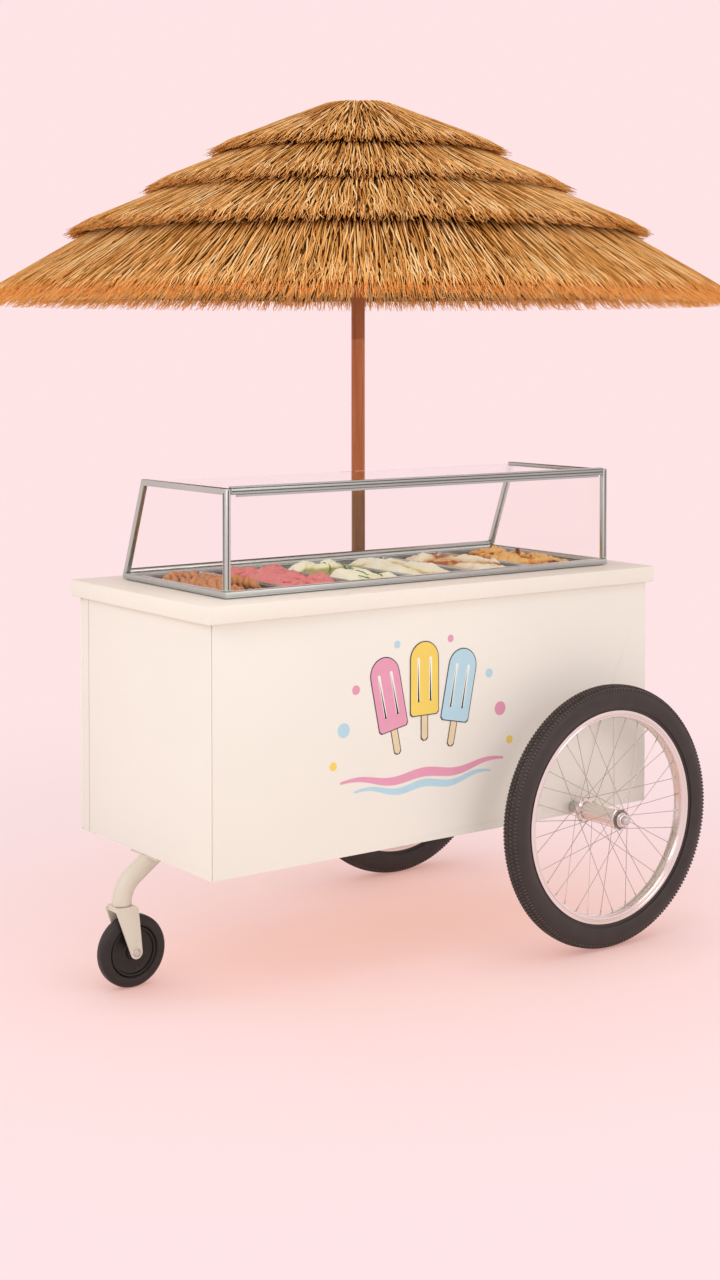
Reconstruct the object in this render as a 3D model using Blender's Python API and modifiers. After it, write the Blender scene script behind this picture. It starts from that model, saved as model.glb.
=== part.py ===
"""Ice cream cart: a panelled cabinet on two wire wheels and one swivel caster.

A glass case covers six pans in a cold well, and a thatched umbrella stands behind it.
The frame's origin is on the ground under the umbrella pole. +X runs to the wheel end,
-Y is the customers' side and +Z is up. All lengths are in metres.
"""
import math

import bmesh
import bpy
from mathutils import Matrix, Vector

# Clearances
SEAT = 0.0003
PIVOT_PLAY = 0.0006
DOOR_REVEAL = 0.005
DOOR_REST_GAP = 0.0015

# Cabinet
BODY_LENGTH = 1.320
BODY_WIDTH = 0.610
PANEL = 0.018
CORNER_ROUND = 0.003
COUNTER_HEIGHT = 0.915
COUNTER_THICKNESS = 0.040
COUNTER_OVERHANG_END = 0.016
COUNTER_OVERHANG_SIDE = 0.013
COUNTER_ROUND = 0.003
SKIRT_DROP = 0.019
DIVIDER_LEFT_OF_MIDDLE = 0.012

# Umbrella pole
POLE_RADIUS = 0.018
POLE_RIGHT_OF_MIDDLE = 0.155
POLE_BACK_GAP = 0.003
SOCKET_WIDTH = 0.070
SOCKET_DEPTH = 0.050
SOCKET_HEIGHT = 0.080
SOCKET_FLOOR = 0.012

# Glass case
CASE_HEIGHT = 0.250
CASE_LEAN = 0.090
CASE_PROFILE = 0.015
CASE_SILL = 0.012
SILL_STEP = 0.005
SILL_STEP_LEFT = 0.0015
SILL_STEP_FRONT = 0.0015
SILL_STEP_RIGHT = 0.0060
SILL_STEP_BACK = 0.0120
CASE_SILL_BAR = 0.010
CASE_LEFT_MARGIN = 0.086
CASE_RIGHT_MARGIN = 0.066
CASE_FRONT_MARGIN = 0.077
CASE_POLE_GAP = 0.008
CASE_EDGE = 0.0015
GLASS = 0.005

# Cold well, deck and pans
WELL_WALL = 0.010
WELL_FLOOR = 0.025
WELL_DEPTH = 0.155
WELL_LIP = 0.0020
WELL_LIP_WIDTH = 0.016
WELL_PLAY = 0.0010
DECK = 0.0020
PAN_COUNT = 6
PAN_SHEET = 0.0015
PAN_RIM = 0.009
PAN_SPACING = 0.006
PAN_DEPTH = 0.115
PAN_TAPER = 0.012
PAN_CORNER = 0.024
PAN_FRONT_LEDGE = 0.004
PAN_BACK_LEDGE = 0.026
PAN_END_LEDGE = 0.008
PAN_BAR_WIDTH = 0.0040
PAN_BAR_HEIGHT = 0.0050
PAN_BAR_KNOB = 0.0060
HEAP_HEIGHTS = (0.036, 0.034, 0.040, 0.030, 0.034, 0.036)
HEAP_LEVEL_SHARES = ((1.0, -0.36), (0.93, 0.10), (0.80, 0.46), (0.58, 0.78), (0.25, 0.97))
HEAP_LUMPS = 3
HEAP_LUMP_SHARE = 0.10

# Main wheels
WHEEL_RADIUS = 0.325
WHEEL_FROM_END = 0.252
WHEEL_OUT = 0.124
WHEEL_STEPS = 40
TYRE_WIDTH = 0.053
TYRE_HEIGHT = 0.062
RIM_WIDTH = 0.037
RIM_LIP = 0.0025
RIM_LIP_HEIGHT = 0.010
RIM_DEPTH = 0.010
AXLE_RADIUS = 0.010
HUB_BARREL_RADIUS = 0.0205
HUB_INNER_FLANGE_RADIUS = 0.030
HUB_OUTER_FLANGE_RADIUS = 0.0245
HUB_FLANGE = 0.005
HUB_INBOARD = 0.080
HUB_OUTBOARD = 0.047
HUB_CAP_RADIUS = 0.0190
HUB_CAP_LENGTH = 0.015
HUB_CAP_CHAMFER = 0.003
HUB_STEPS = 16
SPOKE_COUNT = 36
SPOKE_SIDE = 0.0022
SPOKE_SWEEP = math.radians(60)
NUT_RADIUS = 0.0105
NUT_LENGTH = 0.011
COLLAR_RADIUS = 0.0150
COLLAR_PLAY = 0.0010
BLOCK_WIDTH = 0.070
BLOCK_LENGTH = 0.055
BLOCK_WALL = 0.010

# Swivel caster
CASTER_RADIUS = 0.085
CASTER_WIDTH = 0.034
CASTER_CORE_RADIUS = 0.060
CASTER_SHOULDER = 0.010
CASTER_BEAD = 0.004
CASTER_BOSS_RADIUS = 0.018
CASTER_BOSS_FOOT = 0.020
CASTER_CORE_FLANGE = 0.006
CASTER_OUT = 0.055
CASTER_TRAIL = 0.024
CASTER_STEPS = 20
CASTER_SIDE_PLAY = 0.0055
FORK_PLATE = 0.005
FORK_TOP_GAP = 0.012
FORK_CROWN = 0.012
FORK_CROWN_LENGTH = 0.058
FORK_TIP_RADIUS = 0.015
LEG_RADIUS = 0.0225
LEG_STRAIGHT = 0.004
LEG_BEND_RADIUS = 0.075
LEG_BEND_ANGLE = 54
LEG_PLATE = 0.006
LEG_PLATE_LENGTH = 0.110
LEG_PLATE_WIDTH = 0.120
SWIVEL_PIN_RADIUS = 0.008
SWIVEL_PIN_LENGTH = 0.015
BOLT_RADIUS = 0.006
BOLT_HEAD_RADIUS = 0.009
BOLT_HEAD = 0.004

# Back door
DOOR_PIN_RADIUS = 0.004
DOOR_PIN_LENGTH = 0.010
PIVOT_PLATE = 0.003
PIVOT_PLATE_WIDTH = 0.045
PIVOT_PLATE_LENGTH = 0.070
PULL_RADIUS = 0.005
PULL_LENGTH = 0.130
PULL_STAND = 0.030
PULL_INSET = 0.060

# Thatched umbrella
APEX_HEIGHT = 2.125
APEX_RADIUS = 0.085
TIER_RADII = (0.389, 0.559, 0.760, 0.978)
TIER_DROPS = (0.141, 0.243, 0.356, 0.526)
TIER_SLOPES = (0.36, 0.40, 0.42, 0.60)
TIER_CROWN_SHARE = 3.5
TIER_EDGE = 0.022
TIER_OVERLAP = 0.090
TIER_STEPS = 40
RIB_COUNT = 8
RIB_RADIUS = 0.010
RIB_SHORT = 0.053
CROWN_RADIUS = 0.055
CROWN_HEIGHT = 0.040

# Places worked out from the sizes
BACK = POLE_RADIUS + POLE_BACK_GAP + PANEL
FRONT = BACK - BODY_WIDTH
BACK_FRAME = BACK - PANEL - DOOR_REST_GAP
MIDDLE_X = -POLE_RIGHT_OF_MIDDLE
MIDDLE_Y = (FRONT + BACK) / 2
LEFT = MIDDLE_X - BODY_LENGTH / 2
RIGHT = MIDDLE_X + BODY_LENGTH / 2
BODY_BOTTOM = WHEEL_RADIUS - SKIRT_DROP
COUNTER_UNDER = COUNTER_HEIGHT - COUNTER_THICKNESS
PANEL_TOP = COUNTER_UNDER - SEAT
FLOOR_UNDER = WHEEL_RADIUS + AXLE_RADIUS + BLOCK_WALL + SEAT
FLOOR_TOP = FLOOR_UNDER + PANEL
WHEEL_X = RIGHT - WHEEL_FROM_END
WHEEL_Y_NEAR = FRONT - WHEEL_OUT
WHEEL_Y_FAR = BACK + WHEEL_OUT
RIM_EDGE_RADIUS = WHEEL_RADIUS - TYRE_HEIGHT
RIM_SEAT_RADIUS = RIM_EDGE_RADIUS - RIM_LIP_HEIGHT
RIM_INNER_RADIUS = RIM_SEAT_RADIUS - RIM_DEPTH
DIVIDER_LEFT = MIDDLE_X - DIVIDER_LEFT_OF_MIDDLE
DOOR_EDGE = MIDDLE_X - DOOR_REVEAL / 2
CASE_LEFT = LEFT + CASE_LEFT_MARGIN
CASE_RIGHT = RIGHT - CASE_RIGHT_MARGIN
CASE_FRONT = FRONT + CASE_FRONT_MARGIN
CASE_BACK = -POLE_RADIUS - CASE_POLE_GAP
CASE_TOP = COUNTER_HEIGHT + CASE_HEIGHT
LIP_TOP = COUNTER_HEIGHT + SEAT + WELL_LIP
DECK_TOP = LIP_TOP + SEAT + DECK
SILL_BASE = DECK_TOP + SEAT
SILL_TOP = SILL_BASE + CASE_SILL
FRAME_BASE = SILL_TOP + SEAT
WELL_BOTTOM = COUNTER_HEIGHT - WELL_DEPTH
SWIVEL_X = LEFT - CASTER_OUT
CASTER_X = SWIVEL_X + CASTER_TRAIL
FORK_INNER = CASTER_WIDTH / 2 + CASTER_SIDE_PLAY
CROWN_UNDER = 2 * CASTER_RADIUS + FORK_TOP_GAP
CROWN_TOP = CROWN_UNDER + FORK_CROWN
LEG_FOOT = CROWN_TOP + PIVOT_PLAY
TIER_HEIGHTS = [APEX_HEIGHT - drop for drop in TIER_DROPS]
CANOPY_HUB_TOP = APEX_HEIGHT - 2 * TIER_EDGE
CANOPY_HUB_BASE = CANOPY_HUB_TOP - CROWN_HEIGHT

# Colours, roughness and metal share
FINISHES = {
    "cream_paint": ((0.90, 0.80, 0.69), 0.45, 0.0),
    "counter_top": ((0.86, 0.73, 0.58), 0.50, 0.0),
    "aluminium": ((0.72, 0.73, 0.74), 0.30, 1.0),
    "stainless": ((0.62, 0.63, 0.64), 0.28, 1.0),
    "chrome": ((0.80, 0.80, 0.80), 0.12, 1.0),
    "glass": ((0.90, 0.94, 0.94), 0.05, 0.0),
    "rubber": ((0.06, 0.05, 0.045), 0.75, 0.0),
    "pole_wood": ((0.32, 0.13, 0.07), 0.45, 0.0),
    "thatch": ((0.58, 0.30, 0.10), 0.85, 0.0),
    "ice_cream": ((0.80, 0.55, 0.45), 0.60, 0.0),
}


def clear_scene():
    for item in list(bpy.data.objects):
        bpy.data.objects.remove(item, do_unlink=True)


def make_collection(name):
    group = bpy.data.collections.new(name)
    bpy.context.scene.collection.children.link(group)
    return group


def make_material(name):
    colour, roughness, metallic = FINISHES[name]
    material = bpy.data.materials.new(name)
    material.use_nodes = True
    shader = material.node_tree.nodes["Principled BSDF"]
    shader.inputs["Base Color"].default_value = (*colour, 1.0)
    shader.inputs["Roughness"].default_value = roughness
    shader.inputs["Metallic"].default_value = metallic
    material.diffuse_color = (*colour, 1.0)
    return material


def finish(item, name, finish_name):
    """Name a piece, give it its own material and put it with the parts."""
    item.name = name
    material = make_material(finish_name)
    material.name = name
    item.data.materials.clear()
    item.data.materials.append(material)
    for group in list(item.users_collection):
        group.objects.unlink(item)
    PARTS.objects.link(item)
    return item


def as_cutter(item):
    for group in list(item.users_collection):
        group.objects.unlink(item)
    CUTTERS.objects.link(item)
    item.hide_render = True
    item.display_type = "WIRE"
    return item


def object_from(mesh, matrix=None):
    item = bpy.data.objects.new("piece", mesh)
    bpy.context.scene.collection.objects.link(item)
    if matrix is not None:
        item.matrix_world = matrix
    return item


def box(low, high):
    """A box between two corners."""
    low = Vector(low)
    high = Vector(high)
    shape = bmesh.new()
    bmesh.ops.create_cube(shape, size=1.0)
    bmesh.ops.scale(shape, vec=high - low, verts=shape.verts)
    bmesh.ops.translate(shape, vec=(low + high) / 2, verts=shape.verts)
    mesh = bpy.data.meshes.new("box")
    shape.to_mesh(mesh)
    shape.free()
    return object_from(mesh)


def rod(start, end, radius, sides):
    """A straight round bar between two points."""
    shape = bmesh.new()
    add_rod(shape, Vector(start), Vector(end), radius, sides)
    mesh = bpy.data.meshes.new("rod")
    shape.to_mesh(mesh)
    shape.free()
    return object_from(mesh)


def add_rod(shape, start, end, radius, sides):
    along = end - start
    turn = along.to_track_quat("Z", "Y").to_matrix().to_4x4()
    bmesh.ops.create_cone(
        shape, cap_ends=True, segments=sides, radius1=radius, radius2=radius,
        depth=along.length, matrix=Matrix.Translation((start + end) / 2) @ turn)


PLANES = {
    "XY": Matrix(((1, 0, 0), (0, 1, 0), (0, 0, 1))),
    "XZ": Matrix(((1, 0, 0), (0, 0, -1), (0, 1, 0))),
    "YZ": Matrix(((0, 0, 1), (1, 0, 0), (0, 1, 0))),
}


def outline_curve(outlines, thickness):
    curve = bpy.data.curves.new("outline", "CURVE")
    curve.dimensions = "2D"
    curve.fill_mode = "BOTH"
    curve.extrude = thickness / 2
    for points in outlines:
        spline = curve.splines.new("POLY")
        spline.points.add(len(points) - 1)
        for point, place in zip(spline.points, points):
            point.co = (place[0], place[1], 0.0, 1.0)
        spline.use_cyclic_u = True
    return curve


def slab(outlines, plane, low, high):
    """A flat plate of an outline, and of any holes in it, between two levels."""
    curve = outline_curve(outlines, high - low)
    turn = PLANES[plane].to_4x4()
    middle = (low + high) / 2
    shift = {"XY": (0, 0, middle), "XZ": (0, middle, 0), "YZ": (middle, 0, 0)}[plane]
    return object_from(curve, Matrix.Translation(shift) @ turn)


def slab_mesh(outlines, low, high):
    """A level plate as a mesh, for use in a cut or a join."""
    return as_mesh(slab(outlines, "XY", low, high))


def as_mesh(item):
    """Turn a curve object into a mesh object with its caps welded on."""
    graph = bpy.context.evaluated_depsgraph_get()
    graph.update()
    mesh = bpy.data.meshes.new_from_object(item.evaluated_get(graph))
    shape = bmesh.new()
    shape.from_mesh(mesh)
    bmesh.ops.remove_doubles(shape, verts=shape.verts, dist=0.00002)
    shape.to_mesh(mesh)
    shape.free()
    matrix = item.matrix_world.copy()
    bpy.data.objects.remove(item, do_unlink=True)
    return object_from(mesh, matrix)


def turned(profile, steps, axis="Z", place=(0, 0, 0), closed=False):
    """Turn a profile of (radius, height) points, top to bottom, round an axis."""
    mesh = bpy.data.meshes.new("profile")
    count = len(profile)
    edges = [(i, i + 1) for i in range(count - 1)]
    if closed:
        edges.append((count - 1, 0))
    mesh.from_pydata([(r, 0.0, h) for r, h in profile], edges, [])
    item = object_from(mesh)
    screw = item.modifiers.new("turn", "SCREW")
    screw.axis = "Z"
    screw.angle = 2 * math.pi
    screw.steps = steps
    screw.render_steps = steps
    screw.use_merge_vertices = True
    screw.merge_threshold = 0.00002
    if axis == "Y":
        item.rotation_euler = (-math.pi / 2, 0, 0)
    if axis == "-Y":
        item.rotation_euler = (math.pi / 2, 0, 0)
    item.location = place
    return item


def soften(item, width, segments=1):
    bevel = item.modifiers.new("edges", "BEVEL")
    bevel.width = width
    bevel.segments = segments
    bevel.limit_method = "ANGLE"
    bevel.angle_limit = math.radians(40)
    return item


def boolean(item, other, operation):
    other = as_cutter(other)
    cut = item.modifiers.new(operation.lower(), "BOOLEAN")
    cut.operation = operation
    cut.solver = "EXACT"
    cut.object = other
    return cut


def bent_tube(points, radius, sides):
    """A round tube along a line of points."""
    curve = bpy.data.curves.new("tube", "CURVE")
    curve.dimensions = "3D"
    curve.bevel_depth = radius
    curve.bevel_resolution = sides // 4 - 1
    curve.use_fill_caps = True
    spline = curve.splines.new("POLY")
    spline.points.add(len(points) - 1)
    for point, place in zip(spline.points, points):
        point.co = (*place, 1.0)
    return object_from(curve)


def circle(middle, radius, sides=16):
    angles = [2 * math.pi * i / sides for i in range(sides)]
    return [(middle[0] + radius * math.cos(a), middle[1] + radius * math.sin(a)) for a in angles]


def arc(middle, radius, start, end, steps):
    """Points on an arc, angles in degrees."""
    angles = [math.radians(start + (end - start) * i / steps) for i in range(steps + 1)]
    return [(middle[0] + radius * math.cos(a), middle[1] + radius * math.sin(a)) for a in angles]


def rectangle(low, high):
    return [(low[0], low[1]), (high[0], low[1]), (high[0], high[1]), (low[0], high[1])]


def rounded_rectangle(middle, half_length, half_width, radius, steps=3):
    """Corner by corner from the +X side, anticlockwise."""
    corners = ((1, 1, 0), (-1, 1, 90), (-1, -1, 180), (1, -1, 270))
    points = []
    for side_x, side_y, start in corners:
        centre = (middle[0] + side_x * (half_length - radius),
                  middle[1] + side_y * (half_width - radius))
        points += arc(centre, radius, start, start + 90, steps)
    return points


def loft(rings, closed=False):
    """A solid through rings of equal counts, capped at both ends or closed on itself."""
    shape = bmesh.new()
    loops = [[shape.verts.new(point) for point in ring] for ring in rings]
    following = loops[1:] + loops[:1] if closed else loops[1:]
    for lower, upper in zip(loops, following):
        for i in range(len(lower)):
            j = (i + 1) % len(lower)
            shape.faces.new((lower[i], lower[j], upper[j], upper[i]))
    if not closed:
        shape.faces.new(list(reversed(loops[0])))
        shape.faces.new(loops[-1])
    bmesh.ops.recalc_face_normals(shape, faces=shape.faces)
    mesh = bpy.data.meshes.new("loft")
    shape.to_mesh(mesh)
    shape.free()
    return object_from(mesh)


def clipped(outline, cut):
    """The same outline with a small chamfer at each corner."""
    points = []
    count = len(outline)
    for i, corner in enumerate(outline):
        corner = Vector(corner)
        for other in (outline[i - 1], outline[(i + 1) % count]):
            step = (Vector(other) - corner).normalized() * cut
            points.append(tuple(corner + step))
    return points


def at_height(outline, height):
    return [(x, y, height) for x, y in outline]


def front_panel():
    """The customers' side, mitred into both ends, with a hole for the axle."""
    c = CORNER_ROUND
    outline = [
        (LEFT + c, FRONT), (RIGHT - c, FRONT), (RIGHT - c / 2 - SEAT, FRONT + c / 2),
        (RIGHT - PANEL - SEAT, FRONT + PANEL), (LEFT + PANEL + SEAT, FRONT + PANEL),
        (LEFT + c / 2 + SEAT, FRONT + c / 2)]
    panel = as_mesh(slab([outline], "XY", BODY_BOTTOM, PANEL_TOP))
    hole = rod((WHEEL_X, FRONT - PANEL, WHEEL_RADIUS), (WHEEL_X, FRONT + 2 * PANEL, WHEEL_RADIUS),
               AXLE_RADIUS + PIVOT_PLAY, 20)
    boolean(panel, hole, "DIFFERENCE")
    finish(panel, "front_panel", "cream_paint")


def end_panels():
    """Left and right ends, mitred to the front panel and square behind."""
    c = CORNER_ROUND
    rear = BACK_FRAME
    left = [
        (LEFT, FRONT + c), (LEFT + c / 2, FRONT + c / 2 + SEAT),
        (LEFT + PANEL, FRONT + PANEL + SEAT), (LEFT + PANEL, rear), (LEFT, rear)]
    panel = as_mesh(slab([left], "XY", BODY_BOTTOM, PANEL_TOP))
    finish(panel, "left_panel", "cream_paint")
    rear = BACK - PANEL - SEAT
    right = [
        (RIGHT, FRONT + c), (RIGHT, rear), (RIGHT - PANEL, rear),
        (RIGHT - PANEL, FRONT + PANEL + SEAT), (RIGHT - c / 2, FRONT + c / 2 + SEAT)]
    panel = as_mesh(slab([right], "XY", BODY_BOTTOM, PANEL_TOP))
    finish(panel, "right_panel", "cream_paint")


def back_panel():
    """The fixed half of the back, on the wheel side."""
    panel = box((MIDDLE_X + DOOR_REVEAL / 2, BACK - PANEL, BODY_BOTTOM), (RIGHT, BACK, PANEL_TOP))
    soften(panel, CORNER_ROUND / 2)
    hole = rod((WHEEL_X, BACK - 2 * PANEL, WHEEL_RADIUS), (WHEEL_X, BACK + PANEL, WHEEL_RADIUS),
               AXLE_RADIUS + PIVOT_PLAY, 20)
    boolean(panel, hole, "DIFFERENCE")
    finish(panel, "back_panel", "cream_paint")


def inner_frame():
    """Floor, centre divider and the bearer over the caster."""
    inner_left = LEFT + PANEL + SEAT
    inner_right = RIGHT - PANEL - SEAT
    inner_front = FRONT + PANEL + SEAT
    floor = box((inner_left, inner_front, FLOOR_UNDER), (inner_right, BACK_FRAME, FLOOR_TOP))
    finish(floor, "floor_board", "cream_paint")
    divider = box((DIVIDER_LEFT, inner_front, FLOOR_TOP + SEAT),
                  (DIVIDER_LEFT + PANEL, BACK_FRAME, WELL_BOTTOM - SEAT))
    finish(divider, "centre_divider", "cream_paint")
    bearer = box((inner_left, inner_front, BODY_BOTTOM),
                 (LEFT + PANEL + LEG_PLATE_LENGTH, BACK_FRAME, FLOOR_UNDER - SEAT))
    finish(bearer, "floor_bearer", "cream_paint")


def well_opening():
    """Corners of the worktop's cut-out over the cold well."""
    low = (CASE_LEFT + CASE_PROFILE, CASE_FRONT + CASE_PROFILE)
    high = (CASE_RIGHT - CASE_PROFILE, CASE_BACK - CASE_PROFILE)
    return low, high


def countertop():
    """The worktop, cut out for the cold well, the pole and the door's upper pin."""
    top = box((LEFT - COUNTER_OVERHANG_END, FRONT - COUNTER_OVERHANG_SIDE, COUNTER_UNDER),
              (RIGHT + COUNTER_OVERHANG_END, BACK + COUNTER_OVERHANG_SIDE, COUNTER_HEIGHT))
    soften(top, COUNTER_ROUND, 2)
    low, high = well_opening()
    boolean(top, box((*low, COUNTER_UNDER - PANEL), (*high, COUNTER_HEIGHT + PANEL)), "DIFFERENCE")
    pole_hole = rod((0, 0, COUNTER_UNDER - PANEL), (0, 0, COUNTER_HEIGHT + PANEL),
                    POLE_RADIUS + PIVOT_PLAY, 24)
    boolean(top, pole_hole, "DIFFERENCE")
    pin_x, pin_y = door_axis()
    pin_top = COUNTER_UNDER - DOOR_REVEAL + DOOR_PIN_LENGTH + 2 * PIVOT_PLAY
    pin_hole = rod((pin_x, pin_y, COUNTER_UNDER - PANEL), (pin_x, pin_y, pin_top),
                   DOOR_PIN_RADIUS + PIVOT_PLAY, 12)
    boolean(top, pin_hole, "DIFFERENCE")
    finish(top, "countertop", "counter_top")


def cold_well():
    """The insulated tub that hangs in the worktop by its lip."""
    low, high = well_opening()
    outer = rectangle((low[0] + WELL_PLAY, low[1] + WELL_PLAY),
                      (high[0] - WELL_PLAY, high[1] - WELL_PLAY))
    lip = rectangle((low[0] - WELL_LIP_WIDTH / 2, low[1] - WELL_LIP_WIDTH / 2),
                    (high[0] + WELL_LIP_WIDTH / 2, high[1] + WELL_LIP_WIDTH / 2))
    inner = rectangle((low[0] + WELL_WALL, low[1] + WELL_WALL),
                      (high[0] - WELL_WALL, high[1] - WELL_WALL))
    rings = [
        at_height(outer, WELL_BOTTOM), at_height(outer, COUNTER_HEIGHT + SEAT),
        at_height(lip, COUNTER_HEIGHT + SEAT), at_height(lip, LIP_TOP),
        at_height(inner, LIP_TOP), at_height(inner, WELL_BOTTOM + WELL_FLOOR)]
    finish(loft(rings), "cold_well", "stainless")


def pan_places():
    """Middle, half length and half width of each pan's outer rim."""
    low = (CASE_LEFT + CASE_PROFILE, CASE_FRONT + CASE_PROFILE + PAN_FRONT_LEDGE)
    high = (CASE_RIGHT - CASE_PROFILE - PAN_END_LEDGE, CASE_BACK - CASE_PROFILE - PAN_BACK_LEDGE)
    pitch = (high[0] - low[0]) / PAN_COUNT
    half_x = (pitch - PAN_SPACING) / 2
    half_y = (high[1] - low[1]) / 2
    middle_y = (low[1] + high[1]) / 2
    return [((low[0] + pitch * (i + 0.5), middle_y), half_x, half_y) for i in range(PAN_COUNT)]


def pan_deck():
    """The steel plate that the pans hang in, with a bar between each two pans."""
    deck = box((CASE_LEFT, CASE_FRONT, DECK_TOP - DECK), (CASE_RIGHT, CASE_BACK, DECK_TOP))
    places = pan_places()
    inset = PAN_RIM - 2 * WELL_PLAY
    for middle, half_x, half_y in places:
        hole = rounded_rectangle(middle, half_x - inset, half_y - inset, PAN_CORNER)
        boolean(deck, slab_mesh([hole], WELL_BOTTOM, CASE_TOP), "DIFFERENCE")
    for (middle, half_x, half_y), following in zip(places, places[1:]):
        x = (middle[0] + following[0][0]) / 2
        knob_y = middle[1] + half_y + PAN_BAR_KNOB
        half = PAN_BAR_WIDTH / 2
        turn = math.degrees(math.asin(half / PAN_BAR_KNOB))
        bar = [(x - half, middle[1] - half_y), (x + half, middle[1] - half_y)]
        bar += arc((x, knob_y), PAN_BAR_KNOB, turn - 90, 270 - turn, 8)
        boolean(deck, slab_mesh([bar], DECK_TOP - DECK / 2, DECK_TOP + PAN_BAR_HEIGHT), "UNION")
    finish(deck, "pan_deck", "stainless")


def pans():
    """Pans with sloping sides that hang by their rims."""
    rim_base = DECK_TOP + SEAT
    for number, (middle, half_x, half_y) in enumerate(pan_places(), start=1):
        def ring(inset, height, radius):
            outline = rounded_rectangle(middle, half_x - inset, half_y - inset, radius, 3)
            return at_height(outline, height)
        base_inset = PAN_RIM + PAN_TAPER
        rings = [
            ring(base_inset, rim_base - PAN_DEPTH, PAN_CORNER),
            ring(PAN_RIM, rim_base, PAN_CORNER),
            ring(0, rim_base, PAN_CORNER + PAN_RIM / 2),
            ring(0, rim_base + PAN_SHEET, PAN_CORNER + PAN_RIM / 2),
            ring(PAN_RIM + PAN_SHEET, rim_base + PAN_SHEET, PAN_CORNER - PAN_SHEET),
            ring(base_inset + PAN_SHEET, rim_base - PAN_DEPTH + PAN_SHEET, PAN_CORNER - PAN_SHEET)]
        finish(loft(rings), f"pan_{number}", "stainless")


def heap_ring(middle, half_x, half_y, height, lump):
    """One level ring of a heap, raised and lowered by a few lumps round it."""
    corner = min(PAN_CORNER, half_x / 2)
    outline = rounded_rectangle(middle, half_x, half_y, corner)
    ring = []
    for i, (x, y) in enumerate(outline):
        turn = HEAP_LUMPS * math.tau * i / len(outline) + middle[0] * math.tau / PAN_DEPTH
        ring.append((x, y, height + lump * math.sin(turn)))
    return ring


def ice_creams():
    """A heap in each pan: its middle stands proud of the rim, its edge lies below it."""
    rim = DECK_TOP + SEAT + PAN_SHEET
    wall = PAN_RIM + PAN_SHEET + WELL_PLAY
    base = rim - PAN_DEPTH + PAN_SHEET + SEAT
    for number, (middle, half_x, half_y) in enumerate(pan_places()):
        heap = HEAP_HEIGHTS[number % len(HEAP_HEIGHTS)]
        reach_x = half_x - wall
        reach_y = half_y - wall
        rings = [heap_ring(middle, reach_x - PAN_TAPER, reach_y - PAN_TAPER, base, 0)]
        for share, rise in HEAP_LEVEL_SHARES:
            lump = HEAP_LUMP_SHARE * heap * math.sin(math.pi * max(rise, 0))
            taper = PAN_TAPER * heap * max(-rise, 0) / PAN_DEPTH
            rings.append(heap_ring(middle, reach_x * share - taper, reach_y * share - taper,
                                   rim - SEAT + rise * heap, lump))
        finish(loft(rings), f"ice_cream_{number + 1}", "ice_cream")


def sill_loop(inset, height, step=0):
    """A level line round the case, drawn in by an inset and by a share of each side's step."""
    low = (CASE_LEFT + inset + step * SILL_STEP_LEFT, CASE_FRONT + inset + step * SILL_STEP_FRONT)
    high = (CASE_RIGHT - inset - step * SILL_STEP_RIGHT, CASE_BACK - inset - step * SILL_STEP_BACK)
    return at_height(rectangle(low, high), height)


def case_sill():
    """The low rail all round the case, stepped down towards the pans, and its back bar."""
    edge = CASE_EDGE
    inner = CASE_PROFILE
    step_top = SILL_BASE + SILL_STEP
    loops = [
        sill_loop(0, SILL_BASE), sill_loop(0, SILL_TOP - edge), sill_loop(edge, SILL_TOP),
        sill_loop(inner - edge, SILL_TOP), sill_loop(inner, SILL_TOP - edge),
        sill_loop(inner, step_top), sill_loop(inner, step_top, 1), sill_loop(inner, SILL_BASE, 1)]
    finish(loft(loops, closed=True), "case_sill", "stainless")
    half = CASE_PROFILE / 2
    middle = CASE_BACK - half
    bar = [(middle - half, FRAME_BASE), (middle + half, FRAME_BASE)]
    for y, z in arc((middle, 0), half, 0, 180, 8):
        bar.append((y, FRAME_BASE + CASE_SILL_BAR - half + z))
    low = CASE_LEFT + CASE_PROFILE + SEAT
    high = CASE_RIGHT - CASE_PROFILE - SEAT
    finish(as_mesh(slab([bar], "YZ", low, high)), "case_back_bar", "stainless")


def end_frame_outlines():
    """The end frame's outline, and its glazed opening, as (y, z) points."""
    p = CASE_PROFILE
    base = FRAME_BASE
    rise = CASE_TOP - base
    lean = CASE_LEAN
    post = p * math.hypot(lean, rise) / rise
    back_top = CASE_BACK - lean
    inner_top = back_top + lean * p / rise - post
    frame = [
        (CASE_FRONT, base), (CASE_FRONT, CASE_TOP), (back_top, CASE_TOP), (CASE_BACK, base),
        (CASE_BACK - post, base), (inner_top, CASE_TOP - p), (CASE_FRONT + p, CASE_TOP - p),
        (CASE_FRONT + p, base)]
    pane = [
        (CASE_FRONT + p + SEAT, base), (CASE_FRONT + p + SEAT, CASE_TOP - p - SEAT),
        (inner_top - SEAT, CASE_TOP - p - SEAT), (CASE_BACK - post - 2 * SEAT, base)]
    return frame, pane, back_top


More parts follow.
